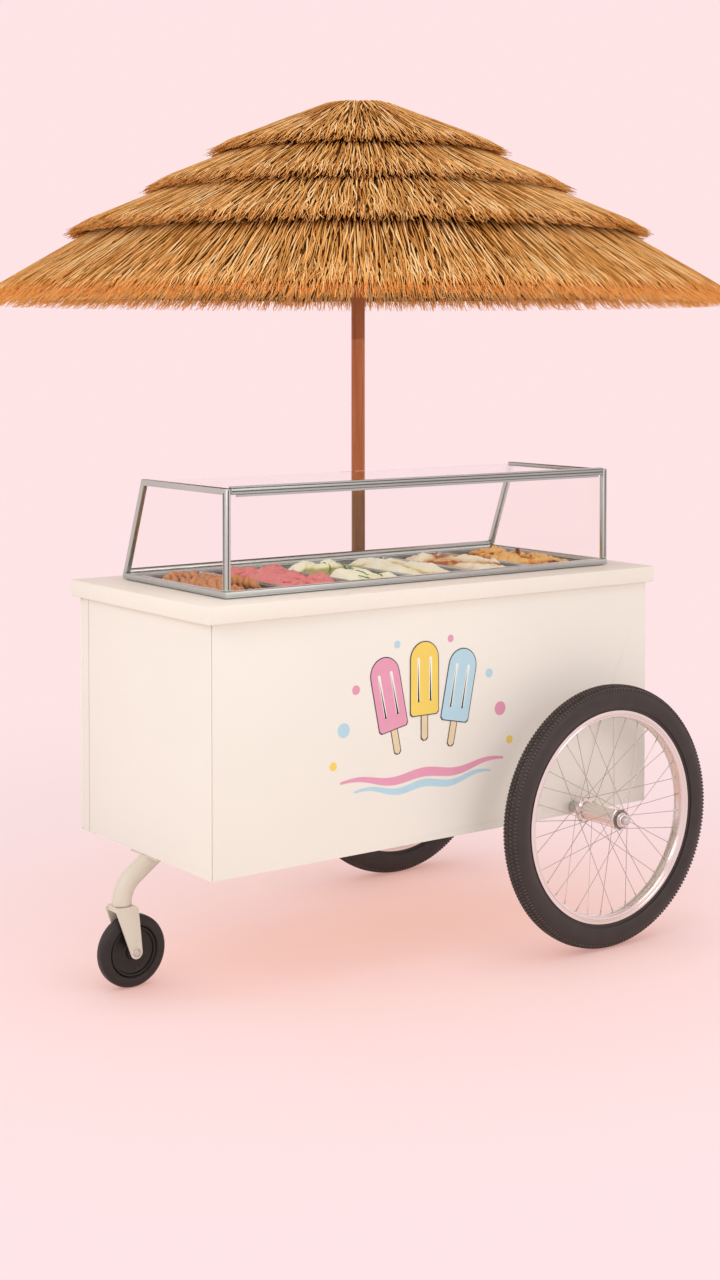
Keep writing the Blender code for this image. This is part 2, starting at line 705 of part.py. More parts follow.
def glass_case():
    """Two end frames, the front rail and the panes; the back stays open."""
    frame, pane, back_top = end_frame_outlines()
    p = CASE_PROFILE
    inset = (p - GLASS) / 2
    sides = (("left", CASE_LEFT), ("right", CASE_RIGHT - p))
    for side, low in sides:
        piece = as_mesh(slab([frame], "YZ", low, low + p))
        soften(piece, CASE_EDGE)
        finish(piece, f"case_frame_{side}", "aluminium")
        glass = slab([clipped(pane, 2 * CASE_EDGE)], "YZ", low + inset, low + inset + GLASS)
        finish(glass, f"glass_{side}", "glass")
    inner_left = CASE_LEFT + p + SEAT
    inner_right = CASE_RIGHT - p - SEAT
    rail = box((inner_left, CASE_FRONT, CASE_TOP - p), (inner_right, CASE_FRONT + p, CASE_TOP))
    soften(rail, CASE_EDGE)
    finish(rail, "case_front_rail", "aluminium")
    front = box((inner_left, CASE_FRONT + inset, FRAME_BASE),
                (inner_right, CASE_FRONT + inset + GLASS, CASE_TOP - p - SEAT))
    finish(front, "glass_front", "glass")
    top = box((inner_left, CASE_FRONT + p + SEAT, CASE_TOP - inset - GLASS),
              (inner_right, back_top, CASE_TOP - inset))
    finish(top, "glass_top", "glass")


def axle():
    """One through axle with a collar inboard and a nut outboard of each wheel."""
    half = (WHEEL_Y_FAR - WHEEL_Y_NEAR) / 2
    hub_end = half + HUB_OUTBOARD + HUB_CAP_LENGTH
    collar_outer = half - HUB_INBOARD - HUB_FLANGE - COLLAR_PLAY
    collar_inner = BODY_WIDTH / 2 + COLLAR_PLAY
    nut_start = hub_end + COLLAR_PLAY
    nut_end = nut_start + NUT_LENGTH
    side = [
        (0, nut_end), (NUT_RADIUS * 0.6, nut_end), (NUT_RADIUS, nut_end - NUT_LENGTH / 3),
        (NUT_RADIUS + PIVOT_PLAY, nut_start), (AXLE_RADIUS, nut_start), (AXLE_RADIUS, collar_outer),
        (COLLAR_RADIUS, collar_outer), (COLLAR_RADIUS, collar_inner), (AXLE_RADIUS, collar_inner)]
    profile = side + [(r, -h) for r, h in reversed(side)]
    bar = turned(profile, HUB_STEPS, "Y", (WHEEL_X, MIDDLE_Y, WHEEL_RADIUS))
    finish(bar, "axle", "stainless")


def axle_blocks():
    """Bearing blocks that hang the axle under the floor, one by each side."""
    z = WHEEL_RADIUS
    half = BLOCK_WIDTH / 2
    round_radius = AXLE_RADIUS + BLOCK_WALL - SEAT
    outline = [(WHEEL_X + half, FLOOR_UNDER - SEAT), (WHEEL_X - half, FLOOR_UNDER - SEAT),
               (WHEEL_X - half, FLOOR_UNDER - SEAT - BLOCK_WALL / 2)]
    outline += arc((WHEEL_X, z), min(round_radius, SKIRT_DROP - SEAT), 180, 360, 10)
    outline += [(WHEEL_X + half, FLOOR_UNDER - SEAT - BLOCK_WALL / 2)]
    bore = circle((WHEEL_X, z), AXLE_RADIUS + PIVOT_PLAY, 20)
    near = FRONT + PANEL + SEAT
    far = BACK - PANEL - SEAT
    finish(slab([outline, bore], "XZ", near, near + BLOCK_LENGTH), "axle_block_near", "aluminium")
    finish(slab([outline, bore], "XZ", far - BLOCK_LENGTH, far), "axle_block_far", "aluminium")


def tyre_profile():
    """A balloon tyre's section, from its far bead over the tread to the near one."""
    crown = WHEEL_RADIUS
    seat = RIM_SEAT_RADIUS + SEAT
    edge = RIM_EDGE_RADIUS + 3 * SEAT
    depth = crown - edge
    w = TYRE_WIDTH / 2
    bead = RIM_WIDTH / 2 - RIM_LIP - 3 * SEAT
    half = [
        (seat, bead), (edge, bead), (edge + 0.26 * depth, 0.92 * w), (edge + 0.58 * depth, w),
        (edge + 0.86 * depth, 0.74 * w)]
    return half + [(crown, 0)] + [(r, -h) for r, h in reversed(half)]


def rim_profile():
    """A box rim with an upstanding lip each side, as a closed section."""
    w = RIM_WIDTH / 2
    bead = w - RIM_LIP
    band = w * 0.45
    shoulder = RIM_SEAT_RADIUS - 0.3 * RIM_DEPTH
    return [
        (RIM_EDGE_RADIUS, w), (RIM_EDGE_RADIUS, bead), (RIM_SEAT_RADIUS, bead),
        (RIM_SEAT_RADIUS, -bead), (RIM_EDGE_RADIUS, -bead), (RIM_EDGE_RADIUS, -w),
        (shoulder, -w), (RIM_INNER_RADIUS, -band), (RIM_INNER_RADIUS, band), (shoulder, w)]


def hub_profile():
    """Barrel, two flanges and the dust cap, with the axle's bore."""
    bore = AXLE_RADIUS + PIVOT_PLAY
    barrel = HUB_BARREL_RADIUS
    cap_end = HUB_OUTBOARD + HUB_CAP_LENGTH
    return [
        (bore, cap_end), (HUB_CAP_RADIUS - HUB_CAP_CHAMFER, cap_end),
        (HUB_CAP_RADIUS, cap_end - HUB_CAP_CHAMFER),
        (HUB_CAP_RADIUS, HUB_OUTBOARD), (HUB_OUTER_FLANGE_RADIUS, HUB_OUTBOARD),
        (HUB_OUTER_FLANGE_RADIUS, HUB_OUTBOARD - HUB_FLANGE), (barrel, HUB_OUTBOARD - 2 * HUB_FLANGE),
        (barrel, -HUB_INBOARD + 2 * HUB_FLANGE), (HUB_INNER_FLANGE_RADIUS, -HUB_INBOARD + HUB_FLANGE),
        (HUB_INNER_FLANGE_RADIUS, -HUB_INBOARD), (HUB_CAP_RADIUS, -HUB_INBOARD),
        (HUB_CAP_RADIUS, -HUB_INBOARD - HUB_FLANGE), (bore, -HUB_INBOARD - HUB_FLANGE)]


def spoke_mesh():
    """Crossing spokes from both flanges to the rim, as square bars round +Z."""
    shape = bmesh.new()
    reach = RIM_INNER_RADIUS * math.cos(math.pi / WHEEL_STEPS) - 2 * SEAT
    for number in range(SPOKE_COUNT):
        rim_angle = 2 * math.pi * (number + 0.5) / SPOKE_COUNT
        outboard = number % 2 == 0
        lead = 1 if (number // 2) % 2 == 0 else -1
        hub_angle = rim_angle + lead * SPOKE_SWEEP
        flange = HUB_OUTER_FLANGE_RADIUS if outboard else HUB_INNER_FLANGE_RADIUS
        side = HUB_OUTBOARD if outboard else -HUB_INBOARD + HUB_FLANGE
        height = side - HUB_FLANGE * (0.5 + 0.38 * lead)
        start_radius = flange - SPOKE_SIDE
        start = Vector((start_radius * math.cos(hub_angle), start_radius * math.sin(hub_angle), height))
        end = Vector((reach * math.cos(rim_angle), reach * math.sin(rim_angle), 0))
        add_rod(shape, start, end, SPOKE_SIDE / math.sqrt(2), 4)
    mesh = bpy.data.meshes.new("spokes")
    shape.to_mesh(mesh)
    shape.free()
    return mesh


def main_wheels():
    """Tyre, rim and spoked hub of each side wheel."""
    for side, y, axis in (("near", WHEEL_Y_NEAR, "-Y"), ("far", WHEEL_Y_FAR, "Y")):
        place = (WHEEL_X, y, WHEEL_RADIUS)
        tyre = turned(tyre_profile(), WHEEL_STEPS, axis, place, closed=True)
        finish(tyre, f"tyre_{side}", "rubber")
        rim = turned(rim_profile(), WHEEL_STEPS, axis, place, closed=True)
        finish(rim, f"rim_{side}", "chrome")
        hub = turned(hub_profile(), HUB_STEPS, axis, place, closed=True)
        spokes = object_from(spoke_mesh(), hub.matrix_basis.copy())
        joined = boolean(hub, spokes, "UNION")
        joined.use_self = True
        finish(hub, f"hub_{side}", "chrome")


def caster_leg():
    """A bent tube welded under a plate, bored at its foot for the swivel pin."""
    top = BODY_BOTTOM - SEAT
    plate = box((LEFT + CORNER_ROUND, MIDDLE_Y - LEG_PLATE_WIDTH / 2, top - LEG_PLATE),
                (LEFT + CORNER_ROUND + LEG_PLATE_LENGTH, MIDDLE_Y + LEG_PLATE_WIDTH / 2, top))
    bend = arc((SWIVEL_X + LEG_BEND_RADIUS, LEG_FOOT + LEG_STRAIGHT), LEG_BEND_RADIUS,
               180, 180 - LEG_BEND_ANGLE, 10)
    lean = math.radians(LEG_BEND_ANGLE)
    last_x, last_z = bend[-1]
    run = (top + LEG_RADIUS - last_z) / math.cos(lean)
    route = [(SWIVEL_X, LEG_FOOT)] + bend
    route.append((last_x + run * math.sin(lean), last_z + run * math.cos(lean)))
    tube = as_mesh(bent_tube([(x, MIDDLE_Y, z) for x, z in route], LEG_RADIUS, 20))
    above = box((LEFT - BODY_WIDTH, FRONT, top), (LEFT + BODY_WIDTH, BACK, top + BODY_WIDTH))
    bore = rod((SWIVEL_X, MIDDLE_Y, LEG_FOOT - PANEL),
               (SWIVEL_X, MIDDLE_Y, LEG_FOOT + SWIVEL_PIN_LENGTH + 2 * PIVOT_PLAY),
               SWIVEL_PIN_RADIUS + PIVOT_PLAY, 16)
    boolean(plate, tube, "UNION")
    boolean(plate, above, "DIFFERENCE")
    boolean(plate, bore, "DIFFERENCE")
    finish(plate, "caster_leg", "cream_paint")


def caster_fork():
    """Crown, two tapering side plates and the swivel pin."""
    half = FORK_CROWN_LENGTH / 2
    crown_left = SWIVEL_X - half
    crown_right = SWIVEL_X + half
    outer = FORK_INNER + FORK_PLATE
    plate = [(crown_left, CROWN_TOP - FORK_CROWN / 2), (crown_left + FORK_CROWN / 2, CROWN_TOP),
             (crown_right - FORK_CROWN / 2, CROWN_TOP), (crown_right, CROWN_TOP - FORK_CROWN / 2)]
    plate += [(CASTER_X + x, CASTER_RADIUS + z) for x, z in arc((0, 0), FORK_TIP_RADIUS, 10, -170, 8)]
    near = as_mesh(slab([plate], "XZ", MIDDLE_Y - outer, MIDDLE_Y - FORK_INNER))
    far = as_mesh(slab([plate], "XZ", MIDDLE_Y + FORK_INNER, MIDDLE_Y + outer))
    crown = box((crown_left + FORK_CROWN / 2, MIDDLE_Y - outer + FORK_PLATE / 2, CROWN_UNDER),
                (crown_right - FORK_CROWN / 2, MIDDLE_Y + outer - FORK_PLATE / 2, CROWN_TOP - SEAT))
    pin = rod((SWIVEL_X, MIDDLE_Y, CROWN_UNDER + FORK_CROWN / 4),
              (SWIVEL_X, MIDDLE_Y, LEG_FOOT + SWIVEL_PIN_LENGTH), SWIVEL_PIN_RADIUS, 16)
    boolean(near, far, "UNION")
    boolean(near, crown, "UNION")
    boolean(near, pin, "UNION")
    bore = rod((CASTER_X, MIDDLE_Y - 2 * outer, CASTER_RADIUS),
               (CASTER_X, MIDDLE_Y + 2 * outer, CASTER_RADIUS), BOLT_RADIUS + SEAT, 16)
    boolean(near, bore, "DIFFERENCE")
    finish(near, "caster_fork", "cream_paint")


def caster_wheel():
    """Solid tyre on a dished core, and the bolt that carries them."""
    place = (CASTER_X, MIDDLE_Y, CASTER_RADIUS)
    w = CASTER_WIDTH / 2
    seat = CASTER_CORE_RADIUS
    half = [(seat, 0.72 * w), (seat + CASTER_BEAD, w), (CASTER_RADIUS - CASTER_SHOULDER, w),
            (CASTER_RADIUS - 0.3 * CASTER_SHOULDER, 0.72 * w), (CASTER_RADIUS, 0.3 * w)]
    tyre = half + [(r, -h) for r, h in reversed(half)]
    finish(turned(tyre, CASTER_STEPS, "Y", place, closed=True), "caster_tyre", "rubber")
    bore = BOLT_RADIUS + PIVOT_PLAY
    rim = seat * math.cos(math.pi / CASTER_STEPS) - SEAT
    half = [(bore, w), (CASTER_BOSS_RADIUS, w), (CASTER_BOSS_FOOT, 0.45 * w),
            (rim - CASTER_CORE_FLANGE, 0.40 * w), (rim, 0.65 * w)]
    core = half + [(r, -h) for r, h in reversed(half)]
    finish(turned(core, CASTER_STEPS, "Y", place, closed=True), "caster_core", "rubber")
    outer = FORK_INNER + FORK_PLATE + SEAT
    head = outer + BOLT_HEAD
    side = [(0, head), (BOLT_HEAD_RADIUS * 0.7, head), (BOLT_HEAD_RADIUS, head - BOLT_HEAD / 2),
            (BOLT_HEAD_RADIUS, outer), (BOLT_RADIUS, outer)]
    bolt = turned(side + [(r, -h) for r, h in reversed(side)], 16, "Y", place)
    finish(bolt, "caster_bolt", "chrome")


def door_axis():
    """Where the door's pivots stand, in the middle of its rounded edge."""
    return LEFT + PANEL / 2, BACK - PANEL / 2


def back_door():
    """The hinged half of the back, rounded at its pivots, and its bar pull."""
    pin_x, pin_y = door_axis()
    bottom = BODY_BOTTOM + DOOR_REVEAL
    top = COUNTER_UNDER - DOOR_REVEAL
    radius = PANEL / 2
    outline = arc((pin_x, pin_y), radius, 90, 270, 10)
    outline += [(DOOR_EDGE, BACK - PANEL), (DOOR_EDGE, BACK)]
    door = as_mesh(slab([outline], "XY", bottom, top))
    upper = rod((pin_x, pin_y, top - PANEL), (pin_x, pin_y, top + DOOR_PIN_LENGTH), DOOR_PIN_RADIUS, 12)
    lower = rod((pin_x, pin_y, bottom - DOOR_REVEAL - PIVOT_PLATE), (pin_x, pin_y, bottom + PANEL),
                DOOR_PIN_RADIUS, 12)
    boolean(door, upper, "UNION")
    boolean(door, lower, "UNION")
    finish(door, "back_door", "cream_paint")
    plate_top = BODY_BOTTOM - SEAT
    low = (LEFT + SEAT, BACK - PIVOT_PLATE_LENGTH)
    plate = rectangle(low, (low[0] + PIVOT_PLATE_WIDTH, BACK - SEAT))
    hole = circle((pin_x, pin_y), DOOR_PIN_RADIUS + PIVOT_PLAY, 12)
    finish(slab([plate, hole], "XY", plate_top - PIVOT_PLATE, plate_top), "door_pivot_plate", "stainless")
    middle = (bottom + top) / 2
    pull_x = DOOR_EDGE - PULL_INSET
    near = BACK + SEAT
    out = BACK + PULL_STAND
    half = PULL_LENGTH / 2
    corner = 2 * PULL_RADIUS
    points = [(near, middle - half)]
    points += [(out - corner + y, middle - half + corner + z) for y, z in arc((0, 0), corner, -90, 0, 3)]
    points += [(out - corner + y, middle + half - corner + z) for y, z in arc((0, 0), corner, 0, 90, 3)]
    points += [(near, middle + half)]
    pull = bent_tube([(pull_x, y, z) for y, z in points], PULL_RADIUS, 8)
    finish(pull, "door_pull", "chrome")


def pole():
    """The umbrella's pole and the block that holds its foot."""
    foot = FLOOR_TOP + SEAT + SOCKET_FLOOR
    finish(rod((0, 0, foot + SEAT), (0, 0, CANOPY_HUB_BASE - SEAT), POLE_RADIUS, 24), "pole", "pole_wood")
    back = BACK - PANEL - SEAT
    block = box((-SOCKET_WIDTH / 2, back - SOCKET_DEPTH, FLOOR_TOP + SEAT),
                (SOCKET_WIDTH / 2, back, FLOOR_TOP + SEAT + SOCKET_HEIGHT))
    bore = rod((0, 0, foot), (0, 0, foot + 2 * SOCKET_HEIGHT), POLE_RADIUS + PIVOT_PLAY, 24)
    boolean(block, bore, "DIFFERENCE")
    finish(block, "pole_socket", "aluminium")


def tier_under(number, radius):
    """Height of a tier's underside: a straight slope up from its lower edge."""
    outer = TIER_RADII[number] - TIER_EDGE / 2
    return TIER_HEIGHTS[number] + TIER_SLOPES[number] * (outer - radius)


def tier_inner(number):
    """Inner radius and top height of a tier, where the one above covers it."""
    if number == 0:
        return APEX_RADIUS, APEX_HEIGHT
    radius = TIER_RADII[number - 1] - TIER_OVERLAP
    return radius, tier_under(number - 1, radius) - SEAT


def tier_profile(number):
    """Section of one thatch tier: a crowned top, a straight underside, thick at the edge."""
    radius = TIER_RADII[number]
    height = TIER_HEIGHTS[number]
    inner_radius, inner_top = tier_inner(number)
    span = radius - inner_radius
    fall = inner_top - height - TIER_EDGE
    slope_above = TIER_SLOPES[max(number - 1, 0)]
    crown = span * (fall / span - slope_above) / TIER_CROWN_SHARE
    upper = []
    for step in range(4):
        t = step / 3
        upper.append((inner_radius + span * t, inner_top - fall * t + crown * math.sin(math.pi * t)))
    near_edge = radius - 3 * TIER_EDGE
    lower = [(radius - TIER_EDGE / 2, height), (near_edge, tier_under(number, near_edge)),
             (inner_radius, tier_under(number, inner_radius))]
    if number == 0:
        return [(0, inner_top)] + upper + lower + [(0, tier_under(0, inner_radius))]
    return upper + lower


def thatch():
    for number in range(len(TIER_RADII)):
        profile = tier_profile(number)
        tier = turned(profile, TIER_STEPS, closed=number > 0)
        finish(tier, f"thatch_tier_{number + 1}", "thatch")


def canopy_frame():
    """Crown block on the pole and the ribs that carry the thatch."""
    crown = rod((0, 0, CANOPY_HUB_BASE), (0, 0, CANOPY_HUB_TOP), CROWN_RADIUS, 24)
    for number in range(RIB_COUNT):
        angle = 2 * math.pi * (number + 0.5) / RIB_COUNT
        points = []
        for radius, height in rib_points():
            points.append((radius * math.cos(angle), radius * math.sin(angle), height))
        boolean(crown, as_mesh(bent_tube(points, RIB_RADIUS, 8)), "UNION")
    finish(crown, "canopy_frame", "pole_wood")


def rib_points():
    """Radius and height along a rib's centre line, just under the tiers."""
    last = len(TIER_RADII) - 1
    drop = (RIB_RADIUS + SEAT) * math.hypot(1, TIER_SLOPES[last])
    points = [(CROWN_RADIUS / 2, CANOPY_HUB_BASE + CROWN_HEIGHT / 2)]
    for number in range(1, last + 1):
        inner = tier_inner(number)[0]
        points.append((inner, tier_under(number, inner) - drop))
    reach = TIER_RADII[last] - RIB_SHORT
    points.append((reach, tier_under(last, reach) - drop))
    return points


clear_scene()
PARTS = make_collection("ice_cream_cart")
CUTTERS = make_collection("cutters")
front_panel()
end_panels()
back_panel()
inner_frame()
countertop()
cold_well()
pan_deck()
pans()
ice_creams()
case_sill()
glass_case()
axle()
axle_blocks()
main_wheels()
caster_leg()
caster_fork()
caster_wheel()
back_door()
pole()
canopy_frame()
thatch()
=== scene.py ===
"""Looks of the ice cream cart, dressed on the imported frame. All lengths are in metres."""
import math

import bmesh
import bpy
import numpy as np
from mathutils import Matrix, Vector


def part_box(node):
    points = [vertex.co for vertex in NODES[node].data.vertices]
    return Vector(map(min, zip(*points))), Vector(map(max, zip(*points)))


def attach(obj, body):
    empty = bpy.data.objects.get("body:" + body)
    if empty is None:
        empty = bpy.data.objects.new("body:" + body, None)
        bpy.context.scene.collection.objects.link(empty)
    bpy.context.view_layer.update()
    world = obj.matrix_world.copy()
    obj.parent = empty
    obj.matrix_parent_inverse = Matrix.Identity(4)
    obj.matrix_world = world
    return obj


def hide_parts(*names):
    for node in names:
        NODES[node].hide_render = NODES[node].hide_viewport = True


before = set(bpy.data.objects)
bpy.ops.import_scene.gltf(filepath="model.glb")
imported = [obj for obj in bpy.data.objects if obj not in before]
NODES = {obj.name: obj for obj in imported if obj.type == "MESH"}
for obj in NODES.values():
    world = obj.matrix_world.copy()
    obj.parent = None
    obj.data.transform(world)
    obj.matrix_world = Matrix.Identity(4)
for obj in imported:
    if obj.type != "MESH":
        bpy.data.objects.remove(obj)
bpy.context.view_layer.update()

# Camera, fitted to the photograph's edges
CAMERA_PLACE = (-3.0897, -4.2293, 1.4965)
CAMERA_YAW = 0.6319
CAMERA_PITCH = 0.035
CAMERA_LENS = 55.44
CAMERA_SENSOR = 36.0
CAMERA_SHIFT_Y = -0.1799

# Colours, as linear values
BACKDROP = (1.0, 0.775, 0.790)
FLOOR_PALE = (0.97, 0.755, 0.765)
# Painted shade on the floor, where the cart hems it in and where the wheels meet it
FLOOR_SHADE = (0.98, 0.530, 0.410)
FLOOR_CONTACT_SHADE = (0.60, 0.33, 0.30)
FLOOR_BOUNCE = (0.96, 0.90, 0.87)
LAMP_TINT = (1.0, 0.990, 0.985)
WORLD_TINT = (1.0, 0.985, 0.970)
CREAM = (0.876, 0.801, 0.735)
COUNTER_CREAM = (0.880, 0.794, 0.718)
POLE_PAINTED_SHADE = (0.50, 0.74, 1.0)

# The pole's painted shade, darker and greyer where it stands behind the glass case, ends this far
# below the case's front rail, within this half length
POLE_TURN_DROP = 0.045
POLE_TURN_HALF = 0.020

# Floor, as a disk: the share of it near the cart that glows in the backdrop's colour with painted
# shade, and where it grows to the whole
FLOOR_REACH = 60.0
FLOOR_SIDES = 64
FLOOR_GLOW = 0.74
FLOOR_FADE = (1.4, 3.2)


def smooth_step(low, high, value):
    share = np.clip((value - low) / (high - low), 0, 1)
    return share * share * (3 - 2 * share)


# Shader helpers

def new_material(name):
    """A material, its node tree and its Principled shader."""
    material = bpy.data.materials.new(name)
    material.use_nodes = True
    tree = material.node_tree
    return material, tree, tree.nodes["Principled BSDF"]


def fill(tree, node, inputs):
    """Set a node's inputs, each to a number, a colour or the socket that is linked to it."""
    for key, value in inputs.items():
        socket = node.inputs[key]
        if isinstance(value, bpy.types.NodeSocket):
            tree.links.new(value, socket)
        else:
            socket.default_value = (*value, 1.0) if socket.type == "RGBA" else value


def add_node(tree, kind, inputs=None, **settings):
    """A node with its settings and inputs."""
    node = tree.nodes.new(kind)
    for key, value in settings.items():
        setattr(node, key, value)
    fill(tree, node, inputs or {})
    return node


def place_of(tree, stretch=(1, 1, 1)):
    """Object coordinates, stretched along the axes."""
    place = add_node(tree, "ShaderNodeTexCoord").outputs["Object"]
    return add_node(tree, "ShaderNodeMapping", {"Vector": place, "Scale": stretch}).outputs["Vector"]


def noise(tree, scale, detail=3.0, roughness=0.5, stretch=(1, 1, 1)):
    return add_node(tree, "ShaderNodeTexNoise", {
        "Vector": place_of(tree, stretch), "Scale": scale, "Detail": detail,
        "Roughness": roughness}).outputs["Fac"]


def ramp(tree, factor, *stops):
    """Colours or grey levels along a factor, as (place, colour) or (place, level) stops."""
    node = add_node(tree, "ShaderNodeValToRGB", {"Fac": factor})
    line = node.color_ramp
    while len(line.elements) < len(stops):
        line.elements.new(0.5)
    for element, (place, colour) in zip(line.elements, stops):
        element.position = place
        element.color = (*colour, 1.0) if isinstance(colour, tuple) else (colour, colour, colour, 1.0)
    return node.outputs["Color"]


def mix(tree, factor, first, second, blend="MIX"):
    return add_node(tree, "ShaderNodeMix", {0: factor, 6: first, 7: second},
                    data_type="RGBA", blend_type=blend).outputs[2]


def map_range(tree, value, start, end, low=0.0, high=1.0, kind="LINEAR"):
    """A value that runs from low to high while another runs from start to end."""
    return add_node(tree, "ShaderNodeMapRange", {
        "Value": value, "From Min": start, "From Max": end, "To Min": low, "To Max": high},
        interpolation_type=kind).outputs["Result"]


def bump(tree, height, strength, distance):
    return add_node(tree, "ShaderNodeBump", {
        "Height": height, "Strength": strength, "Distance": distance}).outputs["Normal"]


def math_node(tree, operation, *values, clamp=False):
    return add_node(tree, "ShaderNodeMath", dict(enumerate(values)), operation=operation,
                    use_clamp=clamp).outputs[0]


def show_mix(tree, output, factor, first, second):
    """Give a tree's output a mix of two shaders."""
    both = add_node(tree, "ShaderNodeMixShader", {0: factor, 1: first.outputs[0], 2: second.outputs[0]})
    tree.links.new(both.outputs[0], tree.nodes[output].inputs["Surface"])


# Materials of the hard pieces

def painted(name, colour, roughness=0.42, speck=0.012):
    """Sprayed paint: fine orange peel, with a faint drift of tone."""
    material, tree, shader = new_material(name)
    low = tuple(c * (1 - 2 * speck) for c in colour)
    high = tuple(min(1.0, c * (1 + speck)) for c in colour)
    fill(tree, shader, {
        "Base Color": ramp(tree, noise(tree, 2.2, 2.0), (0.3, low), (0.7, high)),
        "Roughness": ramp(tree, noise(tree, 9.0), (0.2, roughness - 0.05), (0.8, roughness + 0.07)),
        "Specular IOR Level": 0.4,
        "Normal": bump(tree, noise(tree, 420.0, 2.0), 0.10, 0.0004)})
    return material


def metal(name, colour, roughness, grain=(1, 1, 1), scale=240.0, strength=0.06):
    """Metal with a drawn or brushed grain along the axis of the smallest stretch."""
    material, tree, shader = new_material(name)
    lines = noise(tree, scale, 3.0, 0.6, grain)
    dark = tuple(c * 0.88 for c in colour)
    fill(tree, shader, {
        "Base Color": ramp(tree, noise(tree, 5.0, 2.0), (0.25, dark), (0.75, colour)),
        "Roughness": ramp(tree, lines, (0.25, roughness * 0.75), (0.75, roughness * 1.35)),
        "Metallic": 1.0,
        "Normal": bump(tree, lines, strength, 0.0003)})
    return material


def clear_glass(name, tint):
    """Float glass that lets the lamps through without a heavy shadow."""
    material, tree, shader = new_material(name)
    fill(tree, shader, {"Base Color": tint, "Transmission Weight": 1.0, "IOR": 1.15, "Roughness": 0.0})
    through = add_node(tree, "ShaderNodeBsdfTransparent", {"Color": tint})
    path = add_node(tree, "ShaderNodeLightPath")
    ray = math_node(tree, "MAXIMUM", path.outputs["Is Shadow Ray"], path.outputs["Is Diffuse Ray"])
    show_mix(tree, "Material Output", ray, shader, through)
    return material


def rubber(name, colour, roughness):
    """Dark rubber with a dusty bloom."""
    material, tree, shader = new_material(name)
    pale = tuple(c * 1.25 + 0.004 for c in colour)
    fill(tree, shader, {
        "Base Color": ramp(tree, noise(tree, 30.0, 5.0), (0.35, colour), (0.85, pale)),
        "Roughness": ramp(tree, noise(tree, 60.0), (0.2, roughness - 0.1), (0.8, roughness + 0.12)),
        "Specular IOR Level": 0.42,
        "Normal": bump(tree, noise(tree, 900.0, 2.0), 0.25, 0.0003)})
    return material


def pole_wood():
    """Varnished brown wood with a long upright grain, with painted shade, darker and greyer, behind the
    case.
    """
    material, tree, shader = new_material("pole_wood_look")
    fibres = noise(tree, 160.0, 5.0, 0.6, (1, 1, 0.03))
    bands = noise(tree, 26.0, 3.0, 0.5, (1, 1, 0.06))
    brown = ramp(tree, fibres, (0.25, (0.300, 0.095, 0.026)), (0.75, (0.560, 0.210, 0.064)))
    wood = mix(tree, bands, brown, (0.60, 0.30, 0.16), "SOFT_LIGHT")
    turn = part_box("case_front_rail")[0].z - POLE_TURN_DROP
    height = add_node(tree, "ShaderNodeSeparateXYZ", {"Vector": place_of(tree)}).outputs["Z"]
    above = map_range(tree, height, turn - POLE_TURN_HALF, turn + POLE_TURN_HALF)
    # Painted shade: below the turn the wood is darker and greyer, as it looks behind the glass case
    painted_shade = mix(tree, above, POLE_PAINTED_SHADE, (1.0, 1.0, 1.0))
    fill(tree, shader, {
        "Base Color": mix(tree, 1.0, wood, painted_shade, "MULTIPLY"),
        "Roughness": 0.42,
        "Normal": bump(tree, fibres, 0.15, 0.0005)})
    return material


# Geometry helpers

SHARP_PAST = 35


def link(item):
    bpy.context.scene.collection.objects.link(item)
    return item


def mesh_object(name, vertices, faces, material, smooth=True):
    """An object from lists of points and faces."""
    mesh = bpy.data.meshes.new(name)
    mesh.from_pydata([tuple(v) for v in vertices], [], faces)
    mesh.validate()
    mesh.materials.append(material)
    mesh.polygons.foreach_set("use_smooth", [smooth] * len(mesh.polygons))
    return link(bpy.data.objects.new(name, mesh))


def add_layer(item, key, values):
    """A value for each point of an object, which its material reads."""
    layer = item.data.attributes.new(key, "FLOAT", "POINT")
    layer.data.foreach_set("value", np.ascontiguousarray(values, np.float32).ravel())


def joined(name, shape, *materials, sharp=SHARP_PAST):
    """An object from a bmesh of closed forms, with its edges past an angle sharp."""
    bmesh.ops.recalc_face_normals(shape, faces=shape.faces)
    mesh = bpy.data.meshes.new(name)
    shape.to_mesh(mesh)
    shape.free()
    for material in materials:
        mesh.materials.append(material)
    mesh.polygons.foreach_set("use_smooth", [True] * len(mesh.polygons))
    mesh.set_sharp_from_angle(angle=math.radians(sharp))
    return link(bpy.data.objects.new(name, mesh))


def band(shape, first, second):
    """Faces between two closed rows of points."""
    count = len(first)
    return [shape.faces.new((first[i], first[(i + 1) % count], second[(i + 1) % count], second[i]))
            for i in range(count)]


def tube(shape, rows):
    """Faces along closed rows of points, with both ends closed."""
    made = [shape.faces.new(rows[0]), shape.faces.new(rows[-1][::-1])]
    for first, second in zip(rows, rows[1:]):
        made += band(shape, first, second)
    return made


def turns(count):
    """Equal turns round a circle."""
    return [math.tau * i / count for i in range(count)]


def lathe(name, profile, steps, place, material, sharp=SHARP_PAST, axis="Y"):
    """A closed section of (radius, height) points turned round +Z or +Y through a place."""
    shape = bmesh.new()
    rows = []
    for turn in turns(steps):
        points = [(radius * math.cos(turn), radius * math.sin(turn), height) for radius, height in profile]
        if axis == "Y":
            points = [(x, z, y) for x, y, z in points]
        rows.append([shape.verts.new([a + b for a, b in zip(place, point)]) for point in points])
    for first, second in zip(rows, rows[1:] + rows[:1]):
        band(shape, first, second)
    bmesh.ops.remove_doubles(shape, verts=shape.verts, dist=0.000001)
    return joined(name, shape, material, sharp=sharp)


def add_bar(shape, start, end, radius, sides):
    """A round bar between two points."""
    along = end - start
    matrix = along.to_track_quat("Z", "Y").to_matrix().to_4x4()
    matrix.translation = (start + end) / 2
    bmesh.ops.create_cone(shape, cap_ends=True, segments=sides, radius1=radius, radius2=radius,
                          depth=along.length, matrix=matrix)


